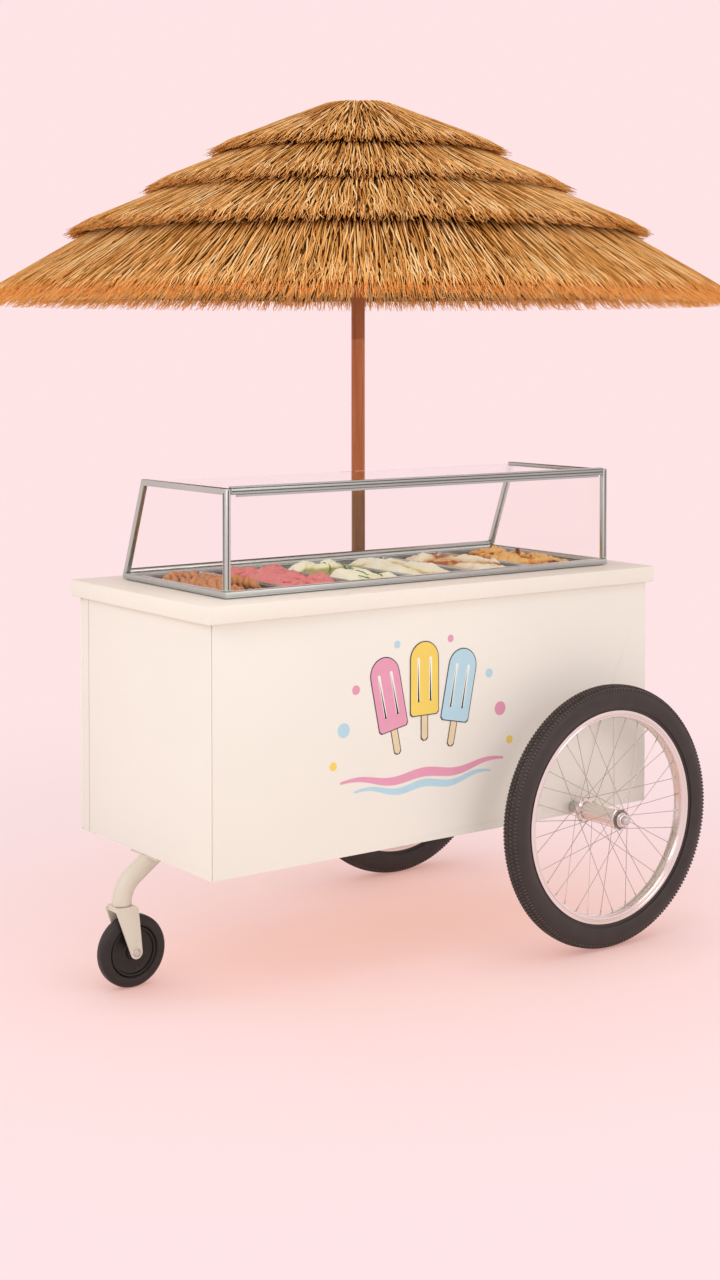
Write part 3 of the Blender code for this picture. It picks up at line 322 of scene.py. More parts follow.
def add_box(shape, low, high):
    low, high = Vector(low), Vector(high)
    made = bmesh.ops.create_cube(shape, size=1.0)["verts"]
    bmesh.ops.scale(shape, vec=high - low, verts=made)
    bmesh.ops.translate(shape, vec=(low + high) / 2, verts=made)


def rounded_by_angle():
    """Nodes that shade a mesh smooth and keep its edges past an angle sharp."""
    group = bpy.data.node_groups.new("rounded_by_angle", "GeometryNodeTree")
    for way in ("INPUT", "OUTPUT"):
        group.interface.new_socket("Geometry", in_out=way, socket_type="NodeSocketGeometry")
    source = add_node(group, "NodeGroupInput").outputs[0]
    faces = add_node(group, "GeometryNodeSetShadeSmooth", {"Geometry": source}).outputs[0]
    angle = add_node(group, "GeometryNodeInputMeshEdgeAngle").outputs["Unsigned Angle"]
    past = add_node(group, "FunctionNodeCompare", {0: angle, 1: math.radians(SHARP_PAST)}).outputs[0]
    edges = add_node(group, "GeometryNodeSetShadeSmooth", {
        "Geometry": faces, "Selection": past, "Shade Smooth": False}, domain="EDGE").outputs[0]
    add_node(group, "NodeGroupOutput", {0: edges})
    return group


ROUNDED = rounded_by_angle()


def dress(node, material, edge=0.0):
    """Give a solid its finish, softened edges and smooth round faces."""
    item = NODES[node]
    item.data.materials.clear()
    item.data.materials.append(material)
    normals = item.data.attributes.get("custom_normal")
    if normals:
        item.data.attributes.remove(normals)
    weld = item.modifiers.new("weld", "WELD")
    weld.merge_threshold = 0.00001
    if edge:
        bevel = item.modifiers.new("edge", "BEVEL")
        bevel.width = edge
        bevel.segments = 2
        bevel.limit_method = "ANGLE"
        bevel.angle_limit = math.radians(40)
    smooth = item.modifiers.new("smooth", "NODES")
    smooth.node_group = ROUNDED


# Camera, lamps, floor and world

def camera():
    data = bpy.data.cameras.new("camera")
    data.sensor_width = CAMERA_SENSOR
    data.lens = CAMERA_LENS
    data.shift_y = CAMERA_SHIFT_Y
    data.clip_end = 200
    item = link(bpy.data.objects.new("camera", data))
    item.location = CAMERA_PLACE
    item.rotation_euler = (math.pi / 2 - CAMERA_PITCH, 0, -CAMERA_YAW)
    bpy.context.scene.camera = item


def lamp(name, place, aim, size, power, colour=(1, 1, 1)):
    data = bpy.data.lights.new(name, "AREA")
    data.shape = "DISK"
    data.size = size
    data.energy = power
    data.color = colour
    item = link(bpy.data.objects.new(name, data))
    item.location = place
    item.rotation_euler = (Vector(aim) - Vector(place)).to_track_quat("-Z", "Y").to_euler()
    return item


def studio():
    """Soft light from all round: broad lamps on the left, in front and above, and a faint one that
    lights the counter below the umbrella."""
    lamp("left", (-5.2, -0.9, 3.9), (0, -0.2, 1.0), 3.2, 66, LAMP_TINT)
    lamp("front", (0.6, -5.2, 2.4), (0.1, -0.2, 0.8), 2.4, 25, LAMP_TINT)
    lamp("top", (-0.4, -1.8, 4.9), (0, 0, 1.4), 3.0, 32)
    low = lamp("counter", (-0.15, -0.27, 1.50), (-0.15, -0.27, 0), 1.6, 3.2)
    low.visible_camera = False
    low.visible_glossy = False
    world = bpy.data.worlds.new("studio")
    bpy.context.scene.world = world
    world.use_nodes = True
    tree = world.node_tree
    plain = tree.nodes["Background"]
    fill(tree, plain, {"Color": WORLD_TINT, "Strength": 0.86})
    pink = add_node(tree, "ShaderNodeBackground", {"Color": BACKDROP, "Strength": 1.0})
    show_mix(tree, "World Output", rays_seen(tree), plain, pink)


def rays_seen(tree):
    """1 for rays from the camera, from gloss and through glass."""
    path = add_node(tree, "ShaderNodeLightPath")
    seen = math_node(tree, "MAXIMUM", path.outputs["Is Camera Ray"], path.outputs["Is Glossy Ray"])
    return math_node(tree, "MAXIMUM", seen, path.outputs["Is Transmission Ray"])


def open_share(tree, reach):
    """How open the space above the floor is within a reach, from 0 to 1."""
    return add_node(tree, "ShaderNodeAmbientOcclusion", {"Distance": reach}, samples=8).outputs["AO"]


def floor():
    """A pale floor that melts into the backdrop; to the camera it glows with painted shade, warm where
    the cart shades it and darker where the wheels meet it.
    """
    ring = [(FLOOR_REACH * math.cos(turn), FLOOR_REACH * math.sin(turn), 0) for turn in turns(FLOOR_SIDES)]
    material, tree, shader = new_material("floor_look")
    item = mesh_object("floor", ring, [range(FLOOR_SIDES)], material, smooth=False)
    seen = rays_seen(tree)
    pale = mix(tree, noise(tree, 90.0, 3.0), tuple(c * 0.992 for c in FLOOR_PALE), FLOOR_PALE)
    fill(tree, shader, {
        "Base Color": mix(tree, seen, FLOOR_BOUNCE, pale), "Roughness": 0.85, "Specular IOR Level": 0.1})
    # Painted shade: the floor's glow darkens and warms as the space above it closes in, under the cart and
    # at the wheels
    tint = mix(tree, math_node(tree, "POWER", open_share(tree, 1.2), 1.3), FLOOR_SHADE, BACKDROP)
    tint = mix(tree, open_share(tree, 0.22), FLOOR_CONTACT_SHADE, tint)
    away = add_node(tree, "ShaderNodeVectorMath", {0: place_of(tree)}, operation="LENGTH").outputs["Value"]
    far = map_range(tree, away, *FLOOR_FADE, FLOOR_GLOW, kind="SMOOTHSTEP")
    glow_with_painted_shade = add_node(tree, "ShaderNodeEmission", {"Color": tint, "Strength": 1.0})
    show_mix(tree, "Material Output", math_node(tree, "MULTIPLY", far, seen), shader, glow_with_painted_shade)


# Thatch

GOLDEN_TURN = math.pi * (3 - math.sqrt(5))
STRAW_PITCH = 0.0068
STRAW_LENGTH = (0.08, 0.17)
STRAW_HALF = 0.0019
STRAW_COLOURS = (
    (0.00, (0.190, 0.055, 0.006)), (0.22, (0.400, 0.148, 0.024)), (0.45, (0.660, 0.295, 0.072)),
    (0.70, (0.890, 0.470, 0.155)), (1.00, (1.000, 0.690, 0.350)))
STRAW_TIP = (1.000, 0.400, 0.090)

# How a tier's top falls at its edge, how its straws turn down there and how far they end past it
EDGE_RUN = 0.05
EDGE_FALL = 0.004
EDGE_TURN = 0.030
EDGE_PAST = 0.004
STRAY_SHARE = 0.10
STRAY_REACH = 0.020

# Layers over a tier, as their depth below its top and their range of tones; the deeper layer's range
# stops lower, as painted shade between the straws above it
COVER_LAYERS = ((0.0028, (0.22, 1.0)), (0.0062, (0.24, 0.80)))
COVER_DENSITY = 1.3
COVER_RINGS = 6
CROWN_STRAWS = 80
CROWN_RING = (0.003, 0.030)
FRINGE_RINGS = 5
FRINGE_START = (0.12, 0.05)
LINING_LENGTH = (0.15, 0.32)

# How far the shortest straws end inside a tier's edge
COVER_SHORT = 0.030
FRINGE_SHORT = 0.032

# How far straws swing aside by their tips
COVER_SWAY = 0.006
FRINGE_SWAY = 0.009
LINING_SWAY = 0.012

# How far a tier's straws start inside the edge of the tier above, and the dark bed of painted shade:
# its steps, its depth below a tier's top and its height above the underside
TIER_LAP = 0.13
BED_STEPS = 96
BED_DROP = 0.0105
BED_RISE = 0.0085

# For each tier: layers in its fringe, how far that hangs and how much painted shade darkens it below,
# straws along the underside and how orange the tips are
THATCH_PLANS = (
    {"layers": 3, "hang": 0.006, "shade": 0.34, "lining": 120, "tip": 0.25},
    {"layers": 3, "hang": 0.006, "shade": 0.34, "lining": 260, "tip": 0.30},
    {"layers": 3, "hang": 0.006, "shade": 0.34, "lining": 450, "tip": 0.40},
    {"layers": 6, "hang": 0.026, "shade": 0.10, "lining": 1700, "tip": 0.95})


def straw_look(number, tip_share):
    """Dry straw: a tone for each strand, fibres along it and warmer tips."""
    material, tree, shader = new_material(f"straw_look_{number}")
    tone, along = (add_node(tree, "ShaderNodeAttribute", attribute_name=key).outputs["Fac"]
                   for key in ("tone", "along"))
    lift = math_node(tree, "MULTIPLY_ADD", noise(tree, 6.0, 3.0), 0.4, -0.2)
    colour = ramp(tree, math_node(tree, "ADD", tone, lift, clamp=True), *STRAW_COLOURS)
    tips = map_range(tree, along, 0.60, 1.0, high=tip_share)
    fill(tree, shader, {
        "Base Color": mix(tree, tips, colour, STRAW_TIP),
        "Roughness": 0.65,
        "Specular IOR Level": 0.04,
        "Normal": bump(tree, noise(tree, 700.0, 2.0), 0.3, 0.0006)})
    return material


def thatch_shade_bed(number):
    """The dark layer of painted shade under the straws, which shows between them."""
    material, tree, shader = new_material(f"thatch_bed_look_{number}")
    streaks = noise(tree, 120.0, 4.0)
    fill(tree, shader, {
        "Base Color": ramp(tree, streaks, (0.3, (0.050, 0.014, 0.002)), (0.7, (0.170, 0.062, 0.012))),
        "Roughness": 0.9,
        "Specular IOR Level": 0.1})
    return material


def tier_surfaces(node):
    """Straight top and underside of a tier as functions of the radius, with its own radii."""
    points = sorted({(round(math.hypot(v.co.x, v.co.y), 3), round(v.co.z, 4))
                     for v in NODES[node].data.vertices})
    low_radius, low_height = min(points, key=lambda p: p[1])
    (inner, under_inner), (outer, top_outer) = points[0], points[-1]
    top_inner = max(z for r, z in points if r == inner)

    def under(radius):
        slope = (under_inner - low_height) / (low_radius - inner)
        return low_height + slope * (low_radius - radius)

    def top(radius):
        return top_outer + (top_inner - top_outer) * np.minimum((outer - radius) / (outer - inner), 1)

    return top, under, inner, outer


def unit(vectors):
    """Vectors with a length of one."""
    return vectors / np.maximum(np.linalg.norm(vectors, axis=-1, keepdims=True), 1e-6)


def strands(name, lines, widths, tone, material):
    """Thin three-sided tapering strands along lines of points, all in one mesh."""
    count, rings = lines.shape[:2]
    tangent = unit(np.gradient(lines, axis=1))
    outward = unit(lines * (1, 1, 0))
    side = np.stack((-outward[..., 1], outward[..., 0], np.zeros((count, rings))), axis=2)
    side = unit(side - tangent * (side * tangent).sum(axis=2, keepdims=True))
    up = np.cross(side, tangent)
    corners = [lines + widths[..., None] * (side * math.cos(turn) + up * math.sin(turn))
               for turn in (math.pi / 2 + step for step in turns(3))]
    index = np.arange(count * rings * 3).reshape(count, rings, 3)
    following = np.roll(index, -1, axis=2)
    quads = np.stack((index[:, :-1], following[:, :-1], following[:, 1:], index[:, 1:]), axis=3)
    faces = quads.reshape(-1, 4).tolist() + index[:, 0, ::-1].tolist() + index[:, -1].tolist()
    item = mesh_object(name, np.stack(corners, axis=2).reshape(-1, 3), faces, material)
    add_layer(item, "along", np.broadcast_to(np.linspace(0, 1, rings)[None, :, None], index.shape))
    add_layer(item, "tone", np.broadcast_to(tone[:, None, None], index.shape))
    return item


def even_places(rng, count, low, high):
    """Starts spread evenly over a ring of ground: their radii and their turns round the axis."""
    index = np.arange(count) + 0.5
    radius = np.sqrt(low ** 2 + (high ** 2 - low ** 2) * index / count)
    return radius, index * GOLDEN_TURN + rng.normal(0, 0.0012, count) / np.maximum(radius, 0.05)


def straw_lines(rng, start, end, turn, height, rings, sway):
    """Wavering centre lines from a start radius to an end radius, at a height given by the radius."""
    share = np.linspace(0, 1, rings)[None, :]
    count = len(start)
    radius = start[:, None] + (end - start)[:, None] * share
    waves = rng.uniform(1.0, 2.6, count)[:, None] * share + rng.uniform(0, 2, count)[:, None]
    aside = rng.normal(0, sway, count)[:, None] * share
    aside = aside + rng.normal(0, 0.0024, count)[:, None] * np.sin(math.pi * waves)
    angle = turn[:, None] + aside / np.maximum(radius, 0.04)
    return np.stack((radius * np.cos(angle), radius * np.sin(angle), height(radius, share)), axis=2)


def ragged_ends(rng, count, outer, drawn_in):
    """Radii where straws end at a tier's edge: most fall short, a few stray past it."""
    end = outer + EDGE_PAST - rng.uniform(0, drawn_in, count)
    stray = rng.random(count) < STRAY_SHARE
    return np.where(stray, outer + rng.uniform(0, STRAY_REACH, count), end)


def straw_widths(rng, count, rings, half):
    """Half widths along each straw, thinner at its root and much thinner at its tip."""
    share = np.linspace(0, 1, rings)[None, :]
    form = np.minimum(1, 0.6 + 2.0 * share) * (1 - 0.62 * share ** 3)
    return half * rng.uniform(0.8, 1.2, count)[:, None] * form


def straws(name, rng, lines, half, tones, look, replaced=None):
    """A mesh of straws that rides with the cart, in place of a tier's solid where one is named."""
    widths = straw_widths(rng, lines.shape[0], lines.shape[1], half)
    item = strands(name, lines, widths, tones, look)
    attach(item, "cart")
    if replaced:
        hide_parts(replaced)


def cover(rng, top, under, first, outer, crown):
    """The straws that show from above, in a bright upper layer and a lower one kept darker as painted
    shade.
    The last ones turn down over the tier's edge, each by its own share."""
    groups = []
    area = math.pi * (outer ** 2 - first ** 2)
    count = int(COVER_DENSITY * area / (STRAW_PITCH * sum(STRAW_LENGTH) / 2))
    for depth, tone in COVER_LAYERS:
        start, turn = even_places(rng, count, first, outer - 0.035)
        if crown:
            inner_start, inner_turn = even_places(rng, CROWN_STRAWS, *CROWN_RING)
            start, turn = np.append(inner_start, start), np.append(inner_turn, turn)
        end = np.minimum(start + rng.uniform(*STRAW_LENGTH, len(start)),
                         ragged_ends(rng, len(start), outer, COVER_SHORT))
        level = depth + rng.uniform(-0.0007, 0.0007, len(start))[:, None]
        fall = rng.uniform(0.0, 0.85, len(start))[:, None]

        def height(radius, share):
            turned = fall * smooth_step(outer - EDGE_TURN, outer, radius)
            return top(radius) - level - turned * (top(radius) - under(radius) - 0.008)

        lines = straw_lines(rng, start, end, turn, height, COVER_RINGS, COVER_SWAY)
        # The deeper layer's darker tones are painted shade under the straws above it
        groups.append((lines, rng.uniform(*tone, len(start))))
    return [np.concatenate(parts) for parts in zip(*groups)]


def fringe(rng, top, under, low, outer, plan):
    """Short straws that fill the thick edge, with ragged ends that hang a little."""
    count = int(plan["layers"] * math.tau * outer / STRAW_PITCH)
    start, turn = even_places(rng, count, outer - FRINGE_START[0], outer - FRINGE_START[1])
    turn = rng.permutation(turn)
    end = ragged_ends(rng, count, outer, FRINGE_SHORT)
    layer = rng.random(count)[:, None]
    droop = rng.uniform(0, plan["hang"], count)[:, None] * layer

    def height(radius, share):
        thick = top(radius) - under(radius)
        level = top(radius) - 0.003 - layer * (thick - 0.006)
        return np.maximum(level - droop * share ** 2, low + 0.002 - 0.45 * plan["hang"])

    lines = straw_lines(rng, start, end, turn, height, FRINGE_RINGS, FRINGE_SWAY)
    # Deeper layers of the fringe get darker tones, painted shade under the tier's edge
    return lines, np.clip(0.88 - plan["shade"] * layer[:, 0] + rng.normal(0, 0.14, count), 0, 1)


def lining(rng, under, inner, outer, count):
    """Long straws along the underside."""
    start, turn = even_places(rng, count, max(inner, 0.07), outer - 0.10)
    end = np.minimum(start + rng.uniform(*LINING_LENGTH, count), outer - rng.uniform(0, 0.03, count))
    level = rng.uniform(0.0024, 0.0080, count)[:, None]
    lines = straw_lines(rng, start, end, turn, lambda radius, share: under(radius) + level,
                        FRINGE_RINGS, LINING_SWAY)
    return lines, rng.uniform(0.45, 1.0, count)


def thatch_tier(number, plan):
    """One tier: straws over the top, a ragged fringe, straws below and the dark bed of painted shade
    between.
    """
    node = f"thatch_tier_{number}"
    solid_top, under, inner, outer = tier_surfaces(node)

    def top(radius):
        return solid_top(radius) - EDGE_FALL * smooth_step(outer - EDGE_RUN, outer, radius)

    crown = number == 1
    first = 0.004 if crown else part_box(f"thatch_tier_{number - 1}")[1].x - TIER_LAP
    rng = np.random.default_rng(400 + number)
    look = straw_look(number, plan["tip"])
    lines, tones = cover(rng, top, under, first, outer, crown)
    straws(f"thatch_cover_{number}", rng, lines, STRAW_HALF, tones, look, node)
    lines, tones = fringe(rng, top, under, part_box(node)[0].z, outer, plan)
    straws(f"thatch_fringe_{number}", rng, lines, 0.85 * STRAW_HALF, tones, look)
    lines, tones = lining(rng, under, inner, outer, plan["lining"])
    straws(f"thatch_lining_{number}", rng, lines, STRAW_HALF, tones, look)
    # The bed is a turned shell of painted shade that shows in the gaps between the straws
    radii = np.linspace(0.001 if crown else inner, outer - COVER_SHORT, 9)
    section = [(r, float(top(r)) - BED_DROP) for r in radii]
    section += [(r, float(under(r)) + BED_RISE) for r in radii[::-1]]
    shade_bed = lathe(f"thatch_bed_{number}", section, BED_STEPS, (0, 0, 0), thatch_shade_bed(number), axis="Z")
    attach(shade_bed, "cart")


# Wheels

TYRE_STEPS = 160
TYRE_SEAT = 0.0006
FLANK_LOW = -62
FLANK_SWEEP = 144
FLANK_STEPS = 14
TREAD_ROWS = (-0.74, -0.37, 0.0, 0.37, 0.74)
TREAD_COUNT = 216
TREAD_DEPTH = 0.0030

# Shares of a tyre: its bead's width, how far out it is widest, how full its flank is, the part of its
# width with blocks, how far the outer blocks lean and how much of its room round the tyre a block takes
BEAD_SHARE = 0.60
WIDEST_SHARE = 0.52
FLANK_POWER = 0.72
TREAD_SHARE = 0.62
LEAN_SHARE = 0.8
BLOCK_SHARE = 0.60

RIM_STEPS = 120
HUB_STEPS = 48
SPOKE_COUNT = 36
SPOKE_RADIUS = 0.0009
SPOKE_SWEEP = math.radians(60)
SPOKE_END = 0.0198
NIPPLE_RADIUS = 0.0016
NIPPLE_LENGTH = 0.012
HEAD_RADIUS = 0.0022
HEAD_HALF = 0.0032

# Radii of a hub's bore, barrel, cap, collar and flanges, and how far in from its ends these flanges lie
HUB_BORE = 0.0106
HUB_BARREL = 0.0205
HUB_CAP = 0.0156
HUB_COLLAR = 0.0176
OUTER_FLANGE = 0.0280
INNER_FLANGE = 0.0320
OUTER_SET = 0.015
INNER_SET = 0.005


def wheel_place(side):
    """Centre of a side wheel, and the way out from the cart, +1 or -1 along Y."""
    low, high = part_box(f"tyre_{side}")
    return (low + high) / 2, (-1 if side == "near" else 1)


def wheel_size(node):
    """Outer radius and half width of a round node."""
    low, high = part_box(node)
    return (high.x - low.x) / 2, (high.y - low.y) / 2


def at_turn(radius, turn, along=0.0):
    """A place round a wheel's axis and along it, from the wheel's centre."""
    return Vector((radius * math.cos(turn), along, radius * math.sin(turn)))


def mirrored(half):
    """A wheel's whole section from one half. A point on the middle plane isn't repeated."""
    return half + [(radius, -across) for radius, across in reversed(half) if across]


def tyre(side, material, block_highlight_material):
    """A balloon tyre: bead, round sidewall with a fine rib, and small blocks round the crown, made lighter
    than the carcass between them as a painted highlight.
    """
    centre, _ = wheel_place(side)
    crown, half = wheel_size(f"tyre_{side}")
    edge = wheel_size(f"rim_{side}")[0] + TYRE_SEAT
    bead = BEAD_SHARE * half
    carcass = crown - TREAD_DEPTH
    middle = edge + WIDEST_SHARE * (carcass - edge)
    flank = []
    for step in range(FLANK_STEPS + 1):
        turn = math.radians(FLANK_LOW + FLANK_SWEEP * step / FLANK_STEPS)
        rise = (carcass - middle) if turn > 0 else (middle - edge) / math.sin(math.radians(-FLANK_LOW))
        flank.append((middle + rise * math.sin(turn), half * math.cos(turn) ** FLANK_POWER))
    foot = flank[0][1]
    section = mirrored([(edge - 0.0080, bead), (edge, bead), (edge + 0.0040, foot + 0.0022),
                        (edge + 0.0075, foot + 0.0030)] + flank[2:] + [(carcass, 0.0)])
    body = lathe(f"tyre_body_{side}", section, TYRE_STEPS, centre, material)
    shape = bmesh.new()
    width = TREAD_SHARE * half * 2 / len(TREAD_ROWS)
    for row, across in enumerate(TREAD_ROWS):
        slope = math.asin(abs(across) ** 1.25)
        radius = carcass - (carcass - middle) * (1 - math.cos(slope))
        lean = slope * math.copysign(LEAN_SHARE, across)
        for number in range(TREAD_COUNT):
            turn = math.tau * (number + 0.5 * (row % 2)) / TREAD_COUNT
            add_block(shape, centre, turn, radius, across * half, lean, width)
    tread = joined(f"tyre_tread_{side}", shape, block_highlight_material, sharp=30)
    for item in (body, tread):
        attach(item, f"wheel_{side}")
    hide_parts(f"tyre_{side}")


def add_block(shape, centre, turn, radius, offset, lean, width):
    """One tread block, let into the carcass, with its top narrower than its foot."""
    length = math.tau * radius / TREAD_COUNT * BLOCK_SHARE
    out = at_turn(1, turn)
    round_way = at_turn(1, turn + math.pi / 2)
    across = Vector((0, 1, 0))
    normal = out * math.cos(lean) + across * math.sin(lean)
    flat = across * math.cos(lean) - out * math.sin(lean)
    foot = centre + out * radius + across * offset
    rows = []
    for level, share in ((-0.0020, 1.0), (TREAD_DEPTH - 0.0001, 0.78)):
        along, aside = round_way * (length * share / 2), flat * (width * share / 2)
        middle = foot + normal * level
        rows.append([shape.verts.new(middle + a * along + b * aside) for a, b in
                     ((-1, -1), (1, -1), (1, 1), (-1, 1))])
    tube(shape, rows)


def rim(side, material):
    """A polished rim with rolled lips, a groove by each lip and a broad flat well."""
    centre, _ = wheel_place(side)
    edge, w = wheel_size(f"rim_{side}")
    inner = edge - 0.020
    lip = w - 0.0022
    section = mirrored([
        (edge - 0.010, lip), (edge - 0.0012, lip), (edge, w - 0.0014), (edge - 0.0004, w - 0.0003),
        (edge - 0.0026, w), (edge - 0.0060, w - 0.0004), (edge - 0.0072, lip),
        (edge - 0.0100, w - 0.0026), (edge - 0.0115, w - 0.0008), (inner + 0.0046, lip),
        (inner + 0.0016, 0.62 * w), (inner, 0.40 * w)])
    item = lathe(f"rim_band_{side}", section, RIM_STEPS, centre, material, 30)
    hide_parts(f"rim_{side}")
    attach(item, f"wheel_{side}")


def flange_edge(radius, face, ease):
    """A flange's rounded edge, as points from its outer face inward."""
    return [(radius - ease, face), (radius, face - 0.0012), (radius, face - 0.0036),
            (radius - ease, face - 0.0050)]


def hub(side, material, dull, dark):
    """Hub with two flanges and a dust cap, and crossing spokes with nipples at the rim."""
    centre, out = wheel_place(side)
    low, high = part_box(f"hub_{side}")
    ends = (high.y - centre.y, centre.y - low.y)
    outboard, inboard = ends if out > 0 else reversed(ends)
    cap, inner = outboard - OUTER_SET, inboard - INNER_SET
    outer_part = [
        (HUB_BORE, outboard), (0.0128, outboard), (0.0148, outboard - 0.0010), (HUB_CAP, outboard - 0.0030),
        (HUB_CAP, outboard - 0.0080), (HUB_COLLAR, outboard - 0.0084), (HUB_COLLAR, cap),
        *flange_edge(OUTER_FLANGE, cap, 0.0018), (0.0215, cap - 0.0062), (HUB_BARREL, cap - 0.0100)]
    inner_part = [
        (HUB_BORE, inboard), (0.0186, inboard - 0.0010), (0.0190, inner),
        *flange_edge(INNER_FLANGE, inner, 0.0016), (0.0220, inner - 0.0062), (HUB_BARREL, inner - 0.0110)]
    profile = outer_part + [(HUB_BARREL - 0.0010, 0.0)] + [(r, -h) for r, h in reversed(inner_part)]
    body = lathe(f"hub_body_{side}", [(r, out * h) for r, h in profile], HUB_STEPS, centre, material, 28)
    shape = bmesh.new()
    reach = wheel_size(f"rim_{side}")[0] - SPOKE_END
    seats = ((OUTER_FLANGE - 0.0030, cap - 0.0024), (INNER_FLANGE - 0.0028, 0.0024 - inner))
    head = Vector((0, out * HEAD_HALF, 0))
    for number in range(SPOKE_COUNT):
        turn = math.tau * (number + 0.5) / SPOKE_COUNT
        lead = 1 if (number // 2) % 2 == 0 else -1
        radius, height = seats[number % 2]
        start = centre + at_turn(radius, turn + lead * SPOKE_SWEEP, out * (height + lead * 0.0016))
        end = centre + at_turn(reach, turn)
        way = (end - start).normalized()
        add_bar(shape, start, end, SPOKE_RADIUS, 6)
        add_bar(shape, end - way * NIPPLE_LENGTH, end + way * 0.0015, NIPPLE_RADIUS, 8)
        add_bar(shape, start - head, start + head, HEAD_RADIUS, 8)
    spokes = joined(f"spokes_{side}", shape, dull)
    ring = [(0.0180, cap - 0.0004), (0.0236, cap - 0.0004), (0.0236, cap + 0.0006), (0.0180, cap + 0.0010)]
    washer = lathe(f"hub_washer_{side}", [(r, out * h) for r, h in ring], HUB_STEPS, centre, dark, 28)
    for item in (body, spokes, washer):
        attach(item, f"wheel_{side}")
    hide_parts(f"hub_{side}")


def caster_wheel(tyre_look, core_look):
    """The swivel caster's rounded tyre and its dished, ribbed core."""
    low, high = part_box("caster_tyre")
    radius, w = wheel_size("caster_tyre")
    core = wheel_size("caster_core")[0]
    shoulder = radius - 0.0120
    tyre_half = [(core + 0.0005, 0.70 * w), (core + 0.0030, 0.95 * w), (core + 0.0060, w), (shoulder, w)]
    for step in range(1, 8):
        turn = math.radians(90 * step / 7)
        tyre_half.append((shoulder + 0.0120 * math.sin(turn), w * (0.30 + 0.70 * math.cos(turn))))
    core_half = [
        (0.0068, w), (0.0165, w), (0.0180, w - 0.0015), (0.0195, 0.50 * w), (0.0240, 0.36 * w),
        (core - 0.0140, 0.36 * w), (core - 0.0080, 0.48 * w), (core - 0.0060, 0.78 * w),
        (core - 0.0020, 0.80 * w), (core, 0.66 * w)]
    for node, half, look in (("caster_tyre", tyre_half, tyre_look), ("caster_core", core_half, core_look)):
        item = lathe(f"{node}_round", mirrored(half), 96, (low + high) / 2, look, 30)
        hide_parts(node)
        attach(item, "caster_wheel")


# Ice cream

# Grid over a heap, radius of its corners, how deep it starts in the pan, shares of the solid's rise
# and of a relief that it takes, and how deep and how far drawn in its sides run
HEAP_STEPS = (56, 130)
HEAP_CORNER = 0.022
HEAP_SUNK = 0.014
HEAP_LIFT = 0.36
HEAP_GRAIN = 1.45
HEAP_SKIRT = 0.030
HEAP_DRAWN_IN = (0.05, 0.02, 0)
HILL_TABLE = 64


def value_noise(x, y, size, seed):
    """Smooth random hills of a given size, from -1 to 1."""
    table = np.random.default_rng(seed).uniform(-1, 1, (HILL_TABLE, HILL_TABLE))
    i, j = np.floor(x / size).astype(int), np.floor(y / size).astype(int)
    s, t = smooth_step(0, 1, x / size - i), smooth_step(0, 1, y / size - j)

    def at(a, b):
        return table[a % HILL_TABLE, b % HILL_TABLE]

    near = at(i, j) * (1 - s) + at(i + 1, j) * s
    far = at(i, j + 1) * (1 - s) + at(i + 1, j + 1) * s
    return near * (1 - t) + far * t


def hills(x, y, size, seed, octaves=4):
    """Hills of a size with finer ones on them."""
    total = np.zeros_like(x)
    for octave in range(octaves):
        total += value_noise(x, y, size / 2 ** octave, seed + octave) / 2 ** octave
    return total


# Reliefs: heights from a place in metres and from its share across and along the pan, from -1 to 1

def chocolate(x, y, u, v):
    """Long scoop strokes that cross, with narrow furrows between them."""
    warp = 0.006 * hills(x, y, 0.05, 11, 2)
    stroke = np.abs(np.sin((x * 0.82 - y * 0.42 + warp) / 0.0150 * math.pi))
    other = np.abs(np.sin((x * 0.55 - y * 0.75 + warp) / 0.0190 * math.pi))
    patch = smooth_step(-0.2, 0.3, hills(x, y, 0.07, 12, 2))
    return (0.0090 * (stroke ** 0.5 - 0.65) * patch + 0.0080 * (other ** 0.5 - 0.65) * (1 - patch)
            + 0.006 * hills(x, y, 0.045, 13) + 0.0012 * hills(x, y, 0.006, 14, 3))


def strawberry(x, y, u, v):
    """Folds with sharp crests between round hollows."""
    folds = np.abs(hills(x, y, 0.034, 21, 3))
    return 0.011 * (0.55 - folds) + 0.006 * hills(x, y, 0.05, 22) + 0.0012 * hills(x, y, 0.007, 23, 3)


def pistachio(x, y, u, v):
    """Smooth swells with a few narrow creases."""
    crease = np.exp(-(np.abs(hills(x, y, 0.06, 31, 2)) / 0.08) ** 2)
    return 0.009 * hills(x, y, 0.06, 32, 2) - 0.005 * crease + 0.0010 * hills(x, y, 0.008, 33, 3)


def vanilla(x, y, u, v):
    """Two broad spooned leaves with a crease where they meet."""
    crease = u * 0.9 - 0.35 * v + 0.18 * hills(x, y, 0.09, 41, 2)
    leaf = np.abs(np.sin(crease * 3.0))
    return 0.010 * (leaf ** 0.5 - 0.7) + 0.003 * hills(x, y, 0.05, 42) + 0.0007 * hills(x, y, 0.006, 43, 3)


def caramel_ripple(x, y, u, v):
    """Soft swells with raised streaks of sauce."""
    sauce = smooth_step(0.05, 0.30, hills(x * 0.8 + y * 0.25, y * 0.45, 0.035, 52, 3))
    return 0.007 * hills(x, y, 0.055, 51, 3) + 0.0028 * sauce + 0.0010 * hills(x, y, 0.007, 53, 3)


def toasted(x, y, u, v):
    """A rough crumbled crust."""
    crumbs = hills(x, y, 0.014, 61, 4)
    return 0.006 * hills(x, y, 0.05, 62, 3) + 0.0042 * crumbs + 0.0022 * np.abs(hills(x, y, 0.006, 63, 2))


